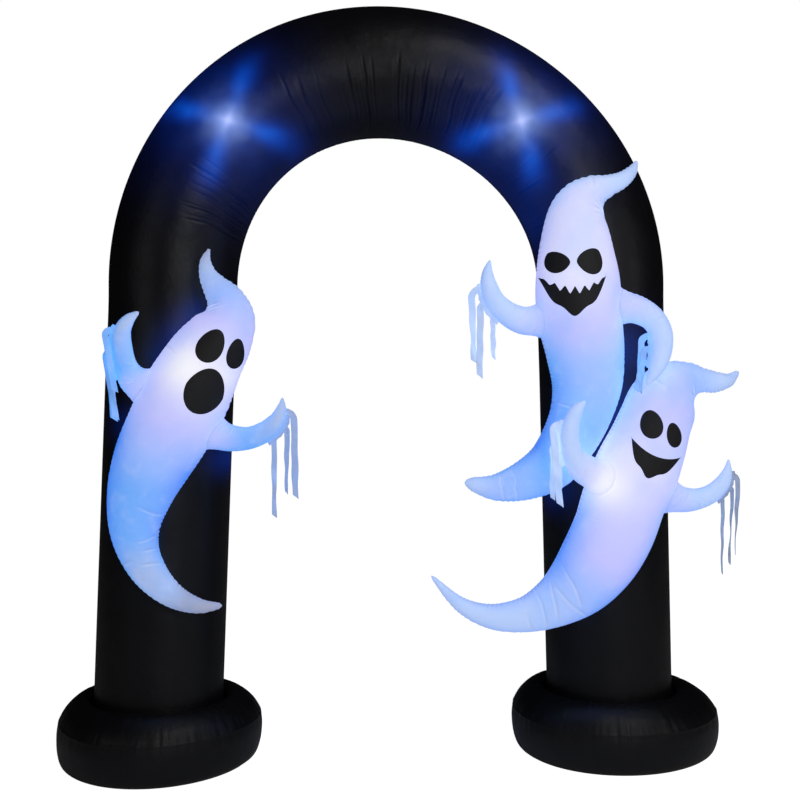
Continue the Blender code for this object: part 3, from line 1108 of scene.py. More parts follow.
@dataclass
class RingBase:
    """Filled ring round a foot, with a shoulder seam and gathers.

    bulge widens it and shift moves it outwards; lobe and phase make it uneven round.
    """

    name: str
    foot: Foot
    bulge: float
    shift: float
    lobe: float
    phase: float
    seed: int
    hole: float = ARCH.leg_radius + 0.001
    wall: float = 0.372
    rim: float = 0.332
    lobes: int = 3
    slack: float = 0.004
    seam_z: float = 0.155
    seam_groove: float = 0.0009
    seam_lift: float = 0.0004
    lip_z: float = 0.17
    lip_pitch: float = 0.034
    lip_depth: float = 0.005
    sides: int = 420
    steps: int = 72
    gathers: tuple[Gather, ...] = rows(Gather, (0.06, 0.042, 0.0025, 1), (0.023, 0.02, 0.0012, 2))
    profile: tuple[Turn, ...] = rows(
        Turn,
        (0.332, 0.0), (0.356, 0.016), (0.369, 0.055), (0.3725, 0.105), (0.369, 0.14), (0.365, 0.155),
        (0.34, 0.19), (0.302, 0.22), (0.268, 0.23), (0.246, 0.219), (0.237, 0.195),
        (ARCH.leg_radius + 0.001, 0.165),
    )

    def outline(self) -> Points:
        """Radius and height round the section, from the floor's rim over the top to the hole."""
        turns = np.array([(turn.radius, turn.z) for turn in self.profile])
        rim = smooth(turns, np.linspace(0.0, 1.0, self.steps))
        under = (self.hole + self.rim) / 2.0
        down = np.array([(self.hole, 0.08), (self.hole, 0.0), (under, 0.0)])
        return np.concatenate([rim, down])

    def gather_depth(self, turn: Points, z: Points, out: Points) -> Points:
        """Depth of the gathers that run away from the shoulder seam and round the hole.

        Args:
            turn: Angle round the ring, one a column.
            z: Height, one a row.
            out: 0 at the hole and 1 at the wall, one a row.

        Returns:
            Depth at each point of the grid.
        """
        z, out = z[:, None], out[:, None]
        away = np.abs(z - self.seam_z)
        depth = self.seam_groove * hump(away, 0.004) * (out > 0.3)
        for gather in self.gathers:
            seed = self.seed + gather.wave
            phase = turn * self.wall / gather.pitch + 0.8 * wander(turn * 9.0, seed)
            height = pleats(phase, 1.6) * uneven(turn * 5.0, seed + 10, 0.35)
            depth = depth + gather.depth * height * hump(away, gather.reach, 1.4) * out**0.5
        phase = turn * self.hole / self.lip_pitch + 0.8 * wander(turn * 7.0, self.seed + 5)
        height = pleats(phase, 1.6) * uneven(turn * 4.0, self.seed + 6, 0.3)
        lip = hump(out - 0.2, 0.26) * np.clip((z - self.lip_z) / 0.05, 0.0, 1.0)
        return depth + self.lip_depth * height * lip

    def points(self) -> Points:
        """Grid of points, one row round the ring for each point of the outline."""
        outline = self.outline()
        radius, z = outline.T
        share = np.clip((radius - self.hole) / (self.wall - self.hole), 0.0, 1.0)
        turn = np.linspace(0.0, math.tau, self.sides, endpoint=False)
        depth = self.gather_depth(turn, z, share)
        middle = ARCH.leg_middle(self.foot, z)
        out, flat = share[:, None], z[:, None] <= 0.0
        lobe = self.lobe * np.sin(self.lobes * turn + self.phase) * out
        spread = self.hole + (radius - self.hole) * self.bulge
        slack = (self.slack * wander(turn * 3.0, self.seed) - self.slack / 2.0) * out
        slope = np.gradient(outline, axis=0)
        normal = np.abs(unit(slope[:, ::-1]))
        reach = spread[:, None] + lobe + np.where(flat, 0.0, slack - depth * normal[:, :1])
        height = np.maximum(z[:, None] - np.where(flat, 0.0, depth * normal[:, 1:]), 0.0)
        x = middle[:, 0, None] + self.shift * out + reach * np.cos(turn)
        y = middle[:, 1, None] + reach * np.sin(turn)
        return np.stack([x, y, height], -1)

    def build(self, cloth: Finish) -> Piece:
        """Makes the ring.

        Args:
            cloth: Its finish.

        Returns:
            The ring.
        """
        grid = self.points()
        closed = np.concatenate([grid, grid[:1]])
        faces = np.array(sheet_faces(*closed.shape[:2], True)) % (grid.shape[0] * grid.shape[1])
        made = mesh_object(f"{self.name}_cloth", grid.reshape(-1, 3), faces.tolist(), cloth)
        return fit_filled(made, Slot.BLACK, self.name)

    def seam(self) -> Points:
        """Shoulder seam."""
        row = int(np.argmin(np.abs(self.outline()[: self.steps, 1] - self.seam_z)))
        line = self.points()[row]
        lifted = line + unit(line - ARCH.leg_middle(self.foot, self.seam_z)) * self.seam_lift
        return np.concatenate([lifted, lifted[:1]])


# Ghosts


class Tint(Enum):
    """Colours that the lit cloth takes."""

    HOT = (0.92, 0.92, 0.96)
    PALE = (0.6, 0.6, 0.95)
    LAVENDER = (0.44, 0.45, 0.98)
    PERIWINKLE = (0.22, 0.4, 0.98)
    SKY = (0.0, 0.2, 0.98)
    BLUE = (0.04, 0.32, 0.96)
    ICE = (0.36, 0.53, 0.92)
    STEEL = (0.26, 0.4, 0.76)
    MIST = (0.2, 0.23, 0.38)
    PEWTER = (0.14, 0.25, 0.56)
    SLATE = (0.07, 0.13, 0.28)


@dataclass(frozen=True)
class Station:
    """Cross section of a filled form."""

    x: float
    z: float
    y: float
    half_width: float


@dataclass(frozen=True)
class Stop:
    """Tint at a share of a form's length, on its middle and at its edges; the edge tint, mostly darker and
    bluer, is painted shade towards the side seams.
    """

    share: float
    middle: Tint
    edge: Tint


@dataclass(frozen=True)
class HotSpot:
    """Bright place where a lamp sits close behind the cloth."""

    x: float
    z: float
    reach: float
    strength: float


@dataclass(frozen=True)
class Crease:
    """Soft fold across a form.

    around is in degrees from the seam on the form's own side, with the front at 90; spread is
    its half length in degrees; slant is how far it runs along the form for each radian.
    """

    share: float
    around: float
    spread: float
    depth: float
    width: float
    slant: float


@dataclass(frozen=True)
class Sweep:
    """Cross sections along a form: middles, the way along, to its side and back, half widths."""

    centre: Points
    tangent: Points
    side: Points
    back: Points
    width: Points

    @property
    def length(self) -> Points:
        """Distance along the form at each section."""
        steps = np.linalg.norm(np.diff(self.centre, axis=0), axis=1)
        return np.concatenate([[0.0], np.cumsum(steps)])

    def pinch(self, theta: Points) -> Points:
        """How far a bend squeezes each place: 1 where the inner side would fold over."""
        bend = np.gradient(self.tangent, self.length + 1e-7 * np.arange(len(self.width)), axis=0)
        c, s = np.cos(theta)[:, None], np.sin(theta)[:, None]
        around = self.side[:, None] * c + self.back[:, None] * s
        return np.clip((around * bend[:, None]).sum(-1) * self.width[:, None], 0.0, 1.5)


@dataclass
class FilledForm:
    """Filled cloth form swept through its stations, with gathered seams on both sides."""

    stations: tuple[Station, ...]
    stops: tuple[Stop, ...]
    creases: tuple[Crease, ...]
    seed: int
    rings: int
    sides: int
    depth_share: float
    gather_depth: float
    gather_pitch: float
    gather_reach: float
    full_width: float = 0.055
    seam_groove: float = 0.0012
    seam_width: float = 0.0035
    seam_lift: float = 0.0003
    pucker_depth: float = 0.003
    pucker_pitch: float = 0.019
    crease_bow: float = 0.005
    tip_rounding: float = 0.7
    bend_ease: float = 0.026
    # shade and shine set the painted shade in the folds and the painted highlight on their ridges.
    shade: float = 0.42
    shade_depth: float = 0.0045
    shine: float = 0.26
    shine_depth: float = 0.0018

    @property
    def shares(self) -> Points:
        """Share of the form's length at each ring."""
        return np.linspace(0.0, 1.0, self.rings)

    def sweep(self, shares: Points) -> Sweep:
        """Cross sections of the form, the last ones rounding off its tip.

        Args:
            shares: Shares of the form's length.

        Returns:
            The sections.
        """
        table = np.array([(s.x, s.z, s.y, s.half_width) for s in self.stations])
        here = smooth(table, shares)
        step = 0.02 / (len(table) - 1)
        slope = smooth(table, shares + step) - smooth(table, shares - step)
        tangent = unit(slope[:, [0, 2, 1]])
        side = unit(np.cross(tangent, UPRIGHT_NORMAL))
        last = table[-1, 3]
        left = (1.0 - shares) * np.linalg.norm(np.diff(table[:, :2], axis=0), axis=1).sum()
        near = np.clip(1.0 - left / last, 0.0, 1.0)
        centre = here[:, [0, 2, 1]] + tangent * (near**2 * last * self.tip_rounding)[:, None]
        width = np.maximum(here[:, 3], 0.002) * np.sqrt(1.0 - 0.96 * near**2)
        return Sweep(centre, tangent, side, np.cross(side, tangent), width)

    def angles(self) -> Points:
        """Angles round the form, closer together at the seams."""
        even = np.linspace(0.0, 1.0, self.sides, endpoint=False)
        return math.tau * even - 0.26 * np.sin(2.0 * math.tau * even)

    def seam_gathers(self, sweep: Sweep, theta: Points) -> Points:
        """Depth of the two seams and of the gathers beside them.

        Args:
            sweep: The form's sections.
            theta: Angles round the form, one a column.

        Returns:
            Depth at each point of the grid, for cloth at full width.
        """
        length = sweep.length
        depth = np.zeros((len(length), len(theta)))
        for seam, seed in ((0.0, self.seed), (math.pi, self.seed + 50)):
            away = sweep.width[:, None] * np.abs(turned(theta, seam))
            phase = length / self.gather_pitch + 0.7 * wander(length * 26.0, seed)
            height = pleats(phase, 1.5) * uneven(length * 14.0, seed + 1, 0.3)
            reach = self.gather_reach * (0.7 + 0.5 * wander(length * 19.0, seed + 2) ** 2)
            depth += self.gather_depth * height[:, None] * hump(away, reach[:, None], 1.3)
            depth += self.seam_groove * hump(away, self.seam_width)
        return depth

    def bend_puckers(self, sweep: Sweep, theta: Points) -> Points:
        """Depth of the puckers where a bend squeezes the cloth.

        Args:
            sweep: The form's sections.
            theta: Angles round the form, one a column.

        Returns:
            Depth at each point of the grid, for cloth at full width.
        """
        length = sweep.length[:, None]
        drift = 0.012 * wander(theta * 3.0, self.seed + 3)
        phase = (length + drift) / self.pucker_pitch + 1.3 * wander(length * 23.0, self.seed + 4)
        patchy = np.clip(0.25 + 1.1 * wander(length * 37.0, self.seed + 5), 0.0, 1.0)
        squeezed = np.clip(sweep.pinch(theta) / 0.45, 0.0, 1.0) ** 1.4
        return self.pucker_depth * squeezed * patchy * pleats(phase, 4.0)

    def crease_depth(self, crease: Crease, shares: Points, length: Points, theta: Points) -> Points:
        """Depth of one soft fold, with the ridge beside it.

        Args:
            crease: The fold.
            shares: Shares of the form's length, one a row.
            length: Distance along the form, one a row.
            theta: Angles round the form, one a column.

        Returns:
            Depth at each point of the grid, negative on the ridge.
        """
        at = length[np.argmin(np.abs(shares - crease.share))]
        turn = turned(theta, -math.radians(crease.around))
        fade = hump(turn, math.radians(crease.spread), 4.0)
        bow = self.crease_bow * wander(theta * 3.2 + at * 40.0, self.seed + 6)
        line = (length[:, None] - at - (crease.slant * turn + bow)) / crease.width
        return crease.depth * fade * (hump(line, 1.0) - 0.6 * hump(line - 1.7, 1.0))

    def fold_depth(self, shares: Points, theta: Points) -> Points:
        """Depth of seams, gathers, puckers and folds, negative on a ridge.

        Args:
            shares: Shares of the form's length, one a row.
            theta: Angles round the form, one a column.

        Returns:
            Depth at each point of the grid.
        """
        sweep = self.sweep(shares)
        slim = np.clip(sweep.width / self.full_width, 0.25, 1.0)[:, None]
        depth = (self.seam_gathers(sweep, theta) + self.bend_puckers(sweep, theta)) * slim
        for crease in self.creases:
            depth += self.crease_depth(crease, shares, sweep.length, theta)
        return depth

    def grid(self, shares: Points) -> tuple[Points, Points]:
        """Skin of the form.

        Args:
            shares: Shares of the form's length, one a row.

        Returns:
            A grid of points, and the depth of the folds at each.
        """
        theta = self.angles()
        sweep = self.sweep(shares)
        width = sweep.width[:, None]
        depth = np.minimum(self.fold_depth(shares, theta), 0.4 * width)
        across = sweep.side[:, None] * np.cos(theta)[:, None]
        through = sweep.back[:, None] * np.sin(theta)[:, None]
        points = sweep.centre[:, None] + (across + through * self.depth_share) * width[..., None]
        squeezed = np.clip((sweep.pinch(theta) - 0.3) / 0.35, 0.0, 1.0)
        points = self.eased(points, squeezed, sweep.length)
        return points - (across + through) * depth[..., None], depth

    def eased(self, points: Points, squeezed: Points, length: Points) -> Points:
        """Grid whose squeezed places are drawn smooth along the form.

        Args:
            points: The grid.
            squeezed: 0 to 1 at each point.
            length: Distance along the form, one a row.

        Returns:
            The smoother grid.
        """
        apart = (length[:, None] - length[None, :]) / self.bend_ease
        spread = np.exp(-(apart**2) / 2.0)
        spread /= spread.sum(1, keepdims=True)
        share = np.clip(1.6 * spread @ squeezed, 0.0, 1.0)[..., None]
        drawn = (spread @ points.reshape(len(points), -1)).reshape(points.shape)
        return points + (drawn - points) * share

    def glow(self, shares: Points, points: Points, depth: Points, spots: Sequence[HotSpot]) -> Points:
        """Colour of the lit cloth at each point of the grid: the lamps' glow, with painted shade towards
        the side seams and in the folds, and a painted highlight on the fold ridges.

        Args:
            shares: Shares of the form's length, one a row.
            points: The grid's points.
            depth: Depth of the folds.
            spots: Bright places.

        Returns:
            One colour a point.
        """
        at = [stop.share for stop in self.stops]
        middle, rim = (
            np.stack([np.interp(shares, at, channel) for channel in zip(*tints)], -1)[:, None]
            for tints in (
                [stop.middle.value for stop in self.stops], [stop.edge.value for stop in self.stops]
            )
        )
        hot = np.array(Tint.HOT.value)
        cloudy = 0.5 + 0.5 * wander(shares * 17.0, self.seed + 7)
        # Painted shade: the glow turns to the darker edge tint towards the side seams, where the cloth
        # turns away.
        rounding = np.abs(np.cos(self.angles())) ** 3
        edge = np.clip(rounding * (0.75 + 0.5 * cloudy[:, None]), 0.0, 1.0)
        colour = middle * (1.0 - edge[..., None]) + rim * edge[..., None]
        for spot in spots:
            away = np.hypot(points[..., 0] - spot.x, points[..., 2] - spot.z)
            share = spot.strength * hump(away, spot.reach) * (1.0 - 0.5 * edge)
            colour += (hot - colour) * share[..., None]
        # Painted shade darkens the glow in the folds, and a painted highlight turns it towards HOT on
        # their ridges.
        shade = 1.0 - np.clip(depth / self.shade_depth, 0.0, 1.0) * self.shade
        ridge = np.clip(-depth / self.shine_depth, 0.0, 1.0)[..., None] * self.shine
        colour = colour * shade[..., None]
        return colour + (hot - colour) * ridge

    def poles(self) -> tuple[Points, Points]:
        """Points that close the form's first and last tip."""
        ends = self.sweep(np.array([0.0, 1.0]))
        first, last = ends.centre
        back = ends.tangent[0] * ends.width[0] * self.tip_rounding
        return first - back, last + ends.tangent[1] * 0.0004

    def seam_lines(self, start: float = 0.0) -> list[Points]:
        """Seams on both sides, just proud of the cloth, from start to the tip."""
        shares = np.linspace(start, 0.99, self.rings)
        sweep = self.sweep(shares)
        depth = self.fold_depth(shares, np.array([0.0, math.pi]))
        return [
            sweep.centre + sweep.side * (sweep.width - depth[:, i] + self.seam_lift)[:, None] * sign
            for i, sign in ((0, 1.0), (1, -1.0))
        ]


def body_form(
    stations: tuple[Station, ...], stops: tuple[Stop, ...], creases: tuple[Crease, ...], seed: int
) -> FilledForm:
    """Ghost's body."""
    return FilledForm(
        stations, stops, creases, seed,
        rings=480, sides=88, depth_share=0.9,
        gather_depth=0.0058, gather_pitch=0.017, gather_reach=0.02,
    )


def sleeve_form(stations: tuple[Station, ...], stops: tuple[Stop, ...], seed: int) -> FilledForm:
    """Ghost's sleeve with its hand, creased where it bends.

    Args:
        stations: Its cross sections, from the root to the tip.
        stops: Its tints.
        seed: Picks its unevenness.

    Returns:
        The sleeve's form.
    """
    draw = np.random.default_rng(seed)
    shares = (0.31, 0.39, 0.5)
    around = draw.uniform(40.0, 140.0, len(shares))
    slants = draw.uniform(-0.03, 0.03, len(shares))
    creases = tuple(
        Crease(share, turn, 30.0, 0.0016, 0.003, slant)
        for share, turn, slant in zip(shares, around, slants)
    )
    return FilledForm(
        stations, stops, creases, seed,
        rings=150, sides=56, depth_share=0.92,
        gather_depth=0.0036, gather_pitch=0.013, gather_reach=0.012,
    )


@dataclass(frozen=True)
class Ribbon:
    """Strip of a hand's fringe.

    share is its root's place along the sleeve, facing its lower end's turn from the front in
    degrees, and sway and forward how far the lower end lies to +x and to the front.
    """

    share: float
    bend: float
    length: float
    width: float
    facing: float
    sway: float
    forward: float


@dataclass
class Fringe:
    """Ribbons and the tape that joins them along a hand's outer seam.

    tape_end is how far the tape runs past its ribbons and last_share where it has to end, as
    shares of the sleeve; slimming is the cloth's width for a width of 1 in the solids.
    """

    name: str
    form: FilledForm
    outward: float
    ribbons: tuple[Ribbon, ...]
    tint: Tint
    seed: int
    tape_reach: float = 0.014
    tape_end: float = 0.035
    tape_steps: int = 46
    last_share: float = 0.97
    root_length: float = 0.03
    least_tape: float = 0.09
    thickness: float = 0.0007
    slimming: float = 0.86
    bend_steps: int = 3
    hang_steps: int = 5
    smooth_steps: int = 9
    columns: int = 7

    def edge(self, share: float) -> tuple[Points, Points]:
        """Point on the hand's outer seam at a share of the sleeve, and the way out of it."""
        here = self.form.sweep(np.array([share]))
        out = here.side[0] * self.outward
        return here.centre[0] + out * here.width[0], out

    def tape_ends(self) -> tuple[float, float]:
        """Shares of the sleeve where the tape starts and ends."""
        return self.ribbons[0].share - self.tape_end, self.ribbons[-1].share + self.tape_end

    def ribbon_path(self, ribbon: Ribbon) -> Points:
        """Middle line of a ribbon: out of the seam, round its bend, then down.

        Args:
            ribbon: The ribbon.

        Returns:
            Its points.
        """
        start, out = self.edge(ribbon.share)
        fall = np.array([ribbon.sway, -ribbon.forward, -ribbon.length])
        down = unit(fall)
        radius = max(ribbon.bend, ribbon.width / 2.0 + 0.006)
        angle = math.acos(float(np.clip(out @ down, -1.0, 1.0)))
        places = [start + out * self.tape_reach * 0.3]
        for i in range(self.bend_steps):
            heading = Vector(out).slerp(Vector(down), (i + 0.5) / self.bend_steps)
            places.append(places[-1] + np.array(heading) * (radius * angle / self.bend_steps))
        for i in range(self.hang_steps):
            ripple = np.array([0.0015, -0.0025, 0.0]) * (-1) ** i
            places.append(places[-1] + fall / self.hang_steps + ripple)
        count = (len(places) - 1) * self.smooth_steps + 1
        return smooth(np.array(places), np.linspace(0.0, 1.0, count))

    def strip(self, line: Points, across: Points, cup: Points) -> Strip:
        """Closed thin strip of cloth.

        Args:
            line: Middle line.
            across: Width vector at each point.
            cup: How far the middle stands out from the edges at each point.

        Returns:
            Its points and its faces.
        """
        through = unit(np.cross(unit(np.gradient(line, axis=0)), across))[:, None, :]
        shares = np.linspace(-0.5, 0.5, self.columns)
        cupped = (cup[:, None] * (0.25 - shares**2) * 4.0)[..., None]
        skin = line[:, None, :] + across[:, None, :] * shares[None, :, None] + through * cupped
        half = through * (self.thickness / 2.0)
        loop = np.concatenate([skin + half, (skin - half)[:, ::-1]], 1)
        count, columns = loop.shape[:2]
        faces = sheet_faces(count, columns, True)
        faces.append(tuple(range(columns)))
        faces.append(tuple((count - 1) * columns + i for i in reversed(range(columns))))
        return loop.reshape(-1, 3), faces

    def ribbon_strip(self, ribbon: Ribbon, seed: int) -> Strip:
        """One ribbon, uneven along its edges and cut slanting at its end.

        Args:
            ribbon: The ribbon.
            seed: Picks its unevenness.

        Returns:
            Its points and its faces.
        """
        line = self.ribbon_path(ribbon)
        shares = np.linspace(0.0, 1.0, len(line))
        tangent = unit(np.gradient(line, axis=0))
        side = unit(np.cross(tangent, UPRIGHT_NORMAL))
        front = np.cross(side, tangent)
        bent = 0.5 * self.bend_steps / (self.bend_steps + self.hang_steps)
        fallen = np.clip((shares - bent) / (1.0 - bent), 0.0, 1.0)
        turn = np.radians(ribbon.facing) * fallen + 0.75 * wander(shares * 7.0, seed) * fallen
        width = ribbon.width * (self.slimming + 0.05 * wander(shares * 12.0, seed + 1))
        across = (side * np.cos(turn)[:, None] + front * np.sin(turn)[:, None]) * width[:, None]
        cup = 0.0028 * wander(shares * 6.0, seed + 2) * fallen
        loop, faces = self.strip(line, across, cup)
        rise = np.linspace(0.0, 1.0, self.columns)
        slant = np.concatenate([rise, rise[::-1]])
        for back, share in ((1, 1.0), (2, 0.6), (3, 0.25)):
            row = slice(len(loop) - back * len(slant), len(loop) - (back - 1) * len(slant))
            loop[row] += tangent[-1] * (slant * share * ribbon.width * 0.6)[:, None]
        return loop, faces

    def tape_strip(self) -> Strip:
        """Points and faces of the tape, scalloped between the ribbons."""
        line, across = [], []
        first, last = self.tape_ends()
        for i, share in enumerate(np.linspace(first, min(last, self.last_share), self.tape_steps)):
            point, out = self.edge(share)
            reach = self.tape_reach * (0.92 + 0.08 * math.cos(i * 0.9))
            line.append(point + out * (reach * 0.5 - 0.0015))
            across.append(out * reach)
        return self.strip(np.array(line), np.array(across), np.zeros(len(line)))

    def build(self, cloth: Finish, hand: Piece) -> Piece:
        """Makes the fringe.

        Args:
            cloth: Its finish.
            hand: Sleeve that it hangs from. It is not used.

        Returns:
            The fringe as one piece.
        """
        points, faces, glow = [], [], []
        count = 0
        parts = [self.tape_strip()]
        parts += [self.ribbon_strip(r, self.seed + 10 * i) for i, r in enumerate(self.ribbons)]
        for (part, part_faces), share in zip(parts, (1.0, 1.0, 0.86, 1.08)):
            points.append(part)
            faces += [tuple(count + i for i in face) for face in part_faces]
            # Painted glow: the ribbons and tape give off light in their tint, made uneven by a random
            # wave.
            shade = 0.9 + 0.12 * wander(part[:, 2] * 45.0 + part[:, 0] * 60.0, self.seed)
            glow.append(np.array(self.tint.value)[None, :] * shade[:, None] * share)
            count += len(part)
        name = self.name.replace("fringe", "ribbons")
        made = mesh_object(name, np.concatenate(points), faces, cloth, np.concatenate(glow))
        piece = fit(made, Slot.GHOST, self.name)
        tape = self.tape_length()
        longest = max(ribbon.length for ribbon in self.ribbons) + self.root_length
        strips = sum(run(self.ribbon_path(ribbon)) * ribbon.width for ribbon in self.ribbons)
        tape * self.tape_reach + strips
        return piece

    def tape_length(self) -> float:
        """Length of the tape along the hand."""
        shares = np.minimum(np.linspace(*self.tape_ends(), 12), self.last_share)
        return run(np.array([self.edge(share)[0] for share in shares]))


def run(line: Points) -> float:
    """Length of a line through points."""
    return float(np.linalg.norm(np.diff(line, axis=0), axis=1).sum())


class Surface:
    """Skin of a finished form, for laying other pieces on it."""

    def __init__(self, points: Points, faces: Sequence[Sequence[int]], glow: Points) -> None:
        """Builds the search tree."""
        self.tree = BVHTree.FromPolygons(points.tolist(), faces)
        self.faces = faces
        self.glow = glow

    def height(self, point: Points) -> float:
        """Distance of a point outside the skin, negative inside."""
        near, normal, _, _ = self.tree.find_nearest(Vector(point))
        return float((Vector(point) - near).dot(normal))

    def nearest(self, point: Points, lift: float) -> Points:
        """Closest place to a point that lies lift outside the skin."""
        near, normal, _, _ = self.tree.find_nearest(Vector(point))
        return np.array(near + normal * lift)

    def colour(self, point: Points) -> Points:
        """Colour of the cloth closest to a point."""
        return self.glow[self.faces[self.tree.find_nearest(Vector(point))[2]][0]]

    def in_front(self, x: float, z: float, lift: float) -> Points | None:
        """Place on the skin's front at x and z, lift outside it, if the skin is there."""
        near, normal, _, _ = self.tree.ray_cast(Vector((x, -2.0, z)), Vector(UPRIGHT_NORMAL))
        return None if near is None else np.array(near + normal * lift)


class Motif(Enum):
    """Plain shapes that the ghosts' faces are made of."""

    EYE = "eye"
    SLY = "sly"
    HOWL = "howl"
    GRIN = "grin"
    SMILE = "smile"


@dataclass(frozen=True)
class Print:
    """One printed shape: its middle, half width, half height, and tilt in degrees."""

    motif: Motif
    x: float
    z: float
    half_width: float
    half_height: float
    tilt: float

    def outline(self) -> Points:
        """Closed outline in x and z, anticlockwise.

        Returns:
            One row a point.
        """
        turn = np.linspace(0.0, math.tau, 96, endpoint=False)
        if self.motif is Motif.EYE:
            u, v = np.cos(turn) * (1.0 - 0.16 * np.sin(turn)), np.sin(turn)
        elif self.motif is Motif.SLY:
            u, v = np.cos(turn), np.sin(turn) * np.where(np.sin(turn) > 0.0, 0.42, 1.0)
        elif self.motif is Motif.HOWL:
            u = np.cos(turn) * (0.86 - 0.14 * np.sin(turn))
            v = np.sin(turn) + 0.1 * np.cos(2.0 * turn) * (np.sin(turn) < 0.0)
        else:
            across = np.linspace(-1.0, 1.0, 61)
            teeth, droop = (7, 0.34) if self.motif is Motif.GRIN else (0, 0.0)
            saw = np.abs((across * teeth / 2.0 + 0.5) % 1.0 - 0.5) * 2.0
            fade = 1.0 - across**2
            upper = 0.55 * across**2 + 0.1 * fade - droop * saw * fade
            lower = 0.62 * across**2 - (1.0 + 0.1 * np.cos(across * 9.0)) * fade**0.8
            u = np.concatenate([across, across[-2:0:-1]])
            v = np.concatenate([lower, upper[-2:0:-1]])
        c, s = math.cos(math.radians(self.tilt)), math.sin(math.radians(self.tilt))
        u, v = u * self.half_width, v * self.half_height
        return np.stack([self.x + u * c - v * s, self.z + u * s + v * c], -1)


@dataclass
class Face:
    """Eyes and mouth, printed on the front of a hood."""

    name: str
    prints: tuple[Print, ...]
    spacing: float = 0.004
    lift: float = 0.0005
    thickness: float = 0.0004

    def build(self, skin: Surface, ink: Finish) -> Piece:
        """Lays the prints on the hood's cloth.

        Args:
            skin: The hood's surface.
            ink: Their finish.

        Returns:
            All the prints as one piece.
        """
        points, faces = [], []
        for mark in self.prints:
            flat, triangles = self.fill(mark.outline())
            laid = [skin.in_front(x, z, self.lift) for x, z in flat]
            count = len(points)
            kept = [t for t in triangles if all(laid[i] is not None for i in t)]
            faces += [tuple(count + i for i in triangle) for triangle in kept]
            points += [np.zeros(3) if place is None else place for place in laid]
        made = mesh_object(self.name, np.array(points), faces, ink)
        reshaped(made.data, self.turn_to_front)
        film = made.modifiers.new("film", "SOLIDIFY")
        film.thickness = self.thickness
        film.offset = -1.0
        return fit(baked(self.name, made), Slot.GHOST)

    def fill(self, outline: Points) -> tuple[list[tuple[float, float]], Faces]:
        """Triangles over an outline, with points between at the face's spacing.

        Args:
            outline: Closed outline in x and z.

        Returns:
            The points, and the point numbers of each triangle.
        """
        low, high = outline.min(0), outline.max(0)
        inside = [
            Vector((x, z))
            for x in np.arange(low[0], high[0], self.spacing)
            for z in np.arange(low[1], high[1], self.spacing)
            if self.holds(outline, x, z)
        ]
        rim = [Vector(point) for point in outline]
        edges = [(i, (i + 1) % len(rim)) for i in range(len(rim))]
        places, _, triangles, _, _, _ = delaunay_2d_cdt(rim + inside, edges, [], 1, 1e-6)
        kept = [
            tuple(t) for t in triangles
            if self.holds(outline, *(sum(places[i][axis] for i in t) / 3.0 for axis in (0, 1)))
        ]
        return [(place.x, place.y) for place in places], kept

    @staticmethod
    def holds(outline: Points, x: float, z: float) -> bool:
        """Whether the outline goes round (x, z)."""
        here, after = outline, np.roll(outline, -1, 0)
        spans = (here[:, 1] > z) != (after[:, 1] > z)
        rise = np.where(spans, after[:, 1] - here[:, 1], 1.0)
        cross = here[:, 0] + (z - here[:, 1]) / rise * (after[:, 0] - here[:, 0])
        return bool((spans & (x < cross)).sum() % 2)

    @staticmethod
    def turn_to_front(bm: bmesh.types.BMesh) -> None:
        """Turns every face to the front."""
        bmesh.ops.reverse_faces(bm, faces=[face for face in bm.faces if face.normal.y > 0.0])


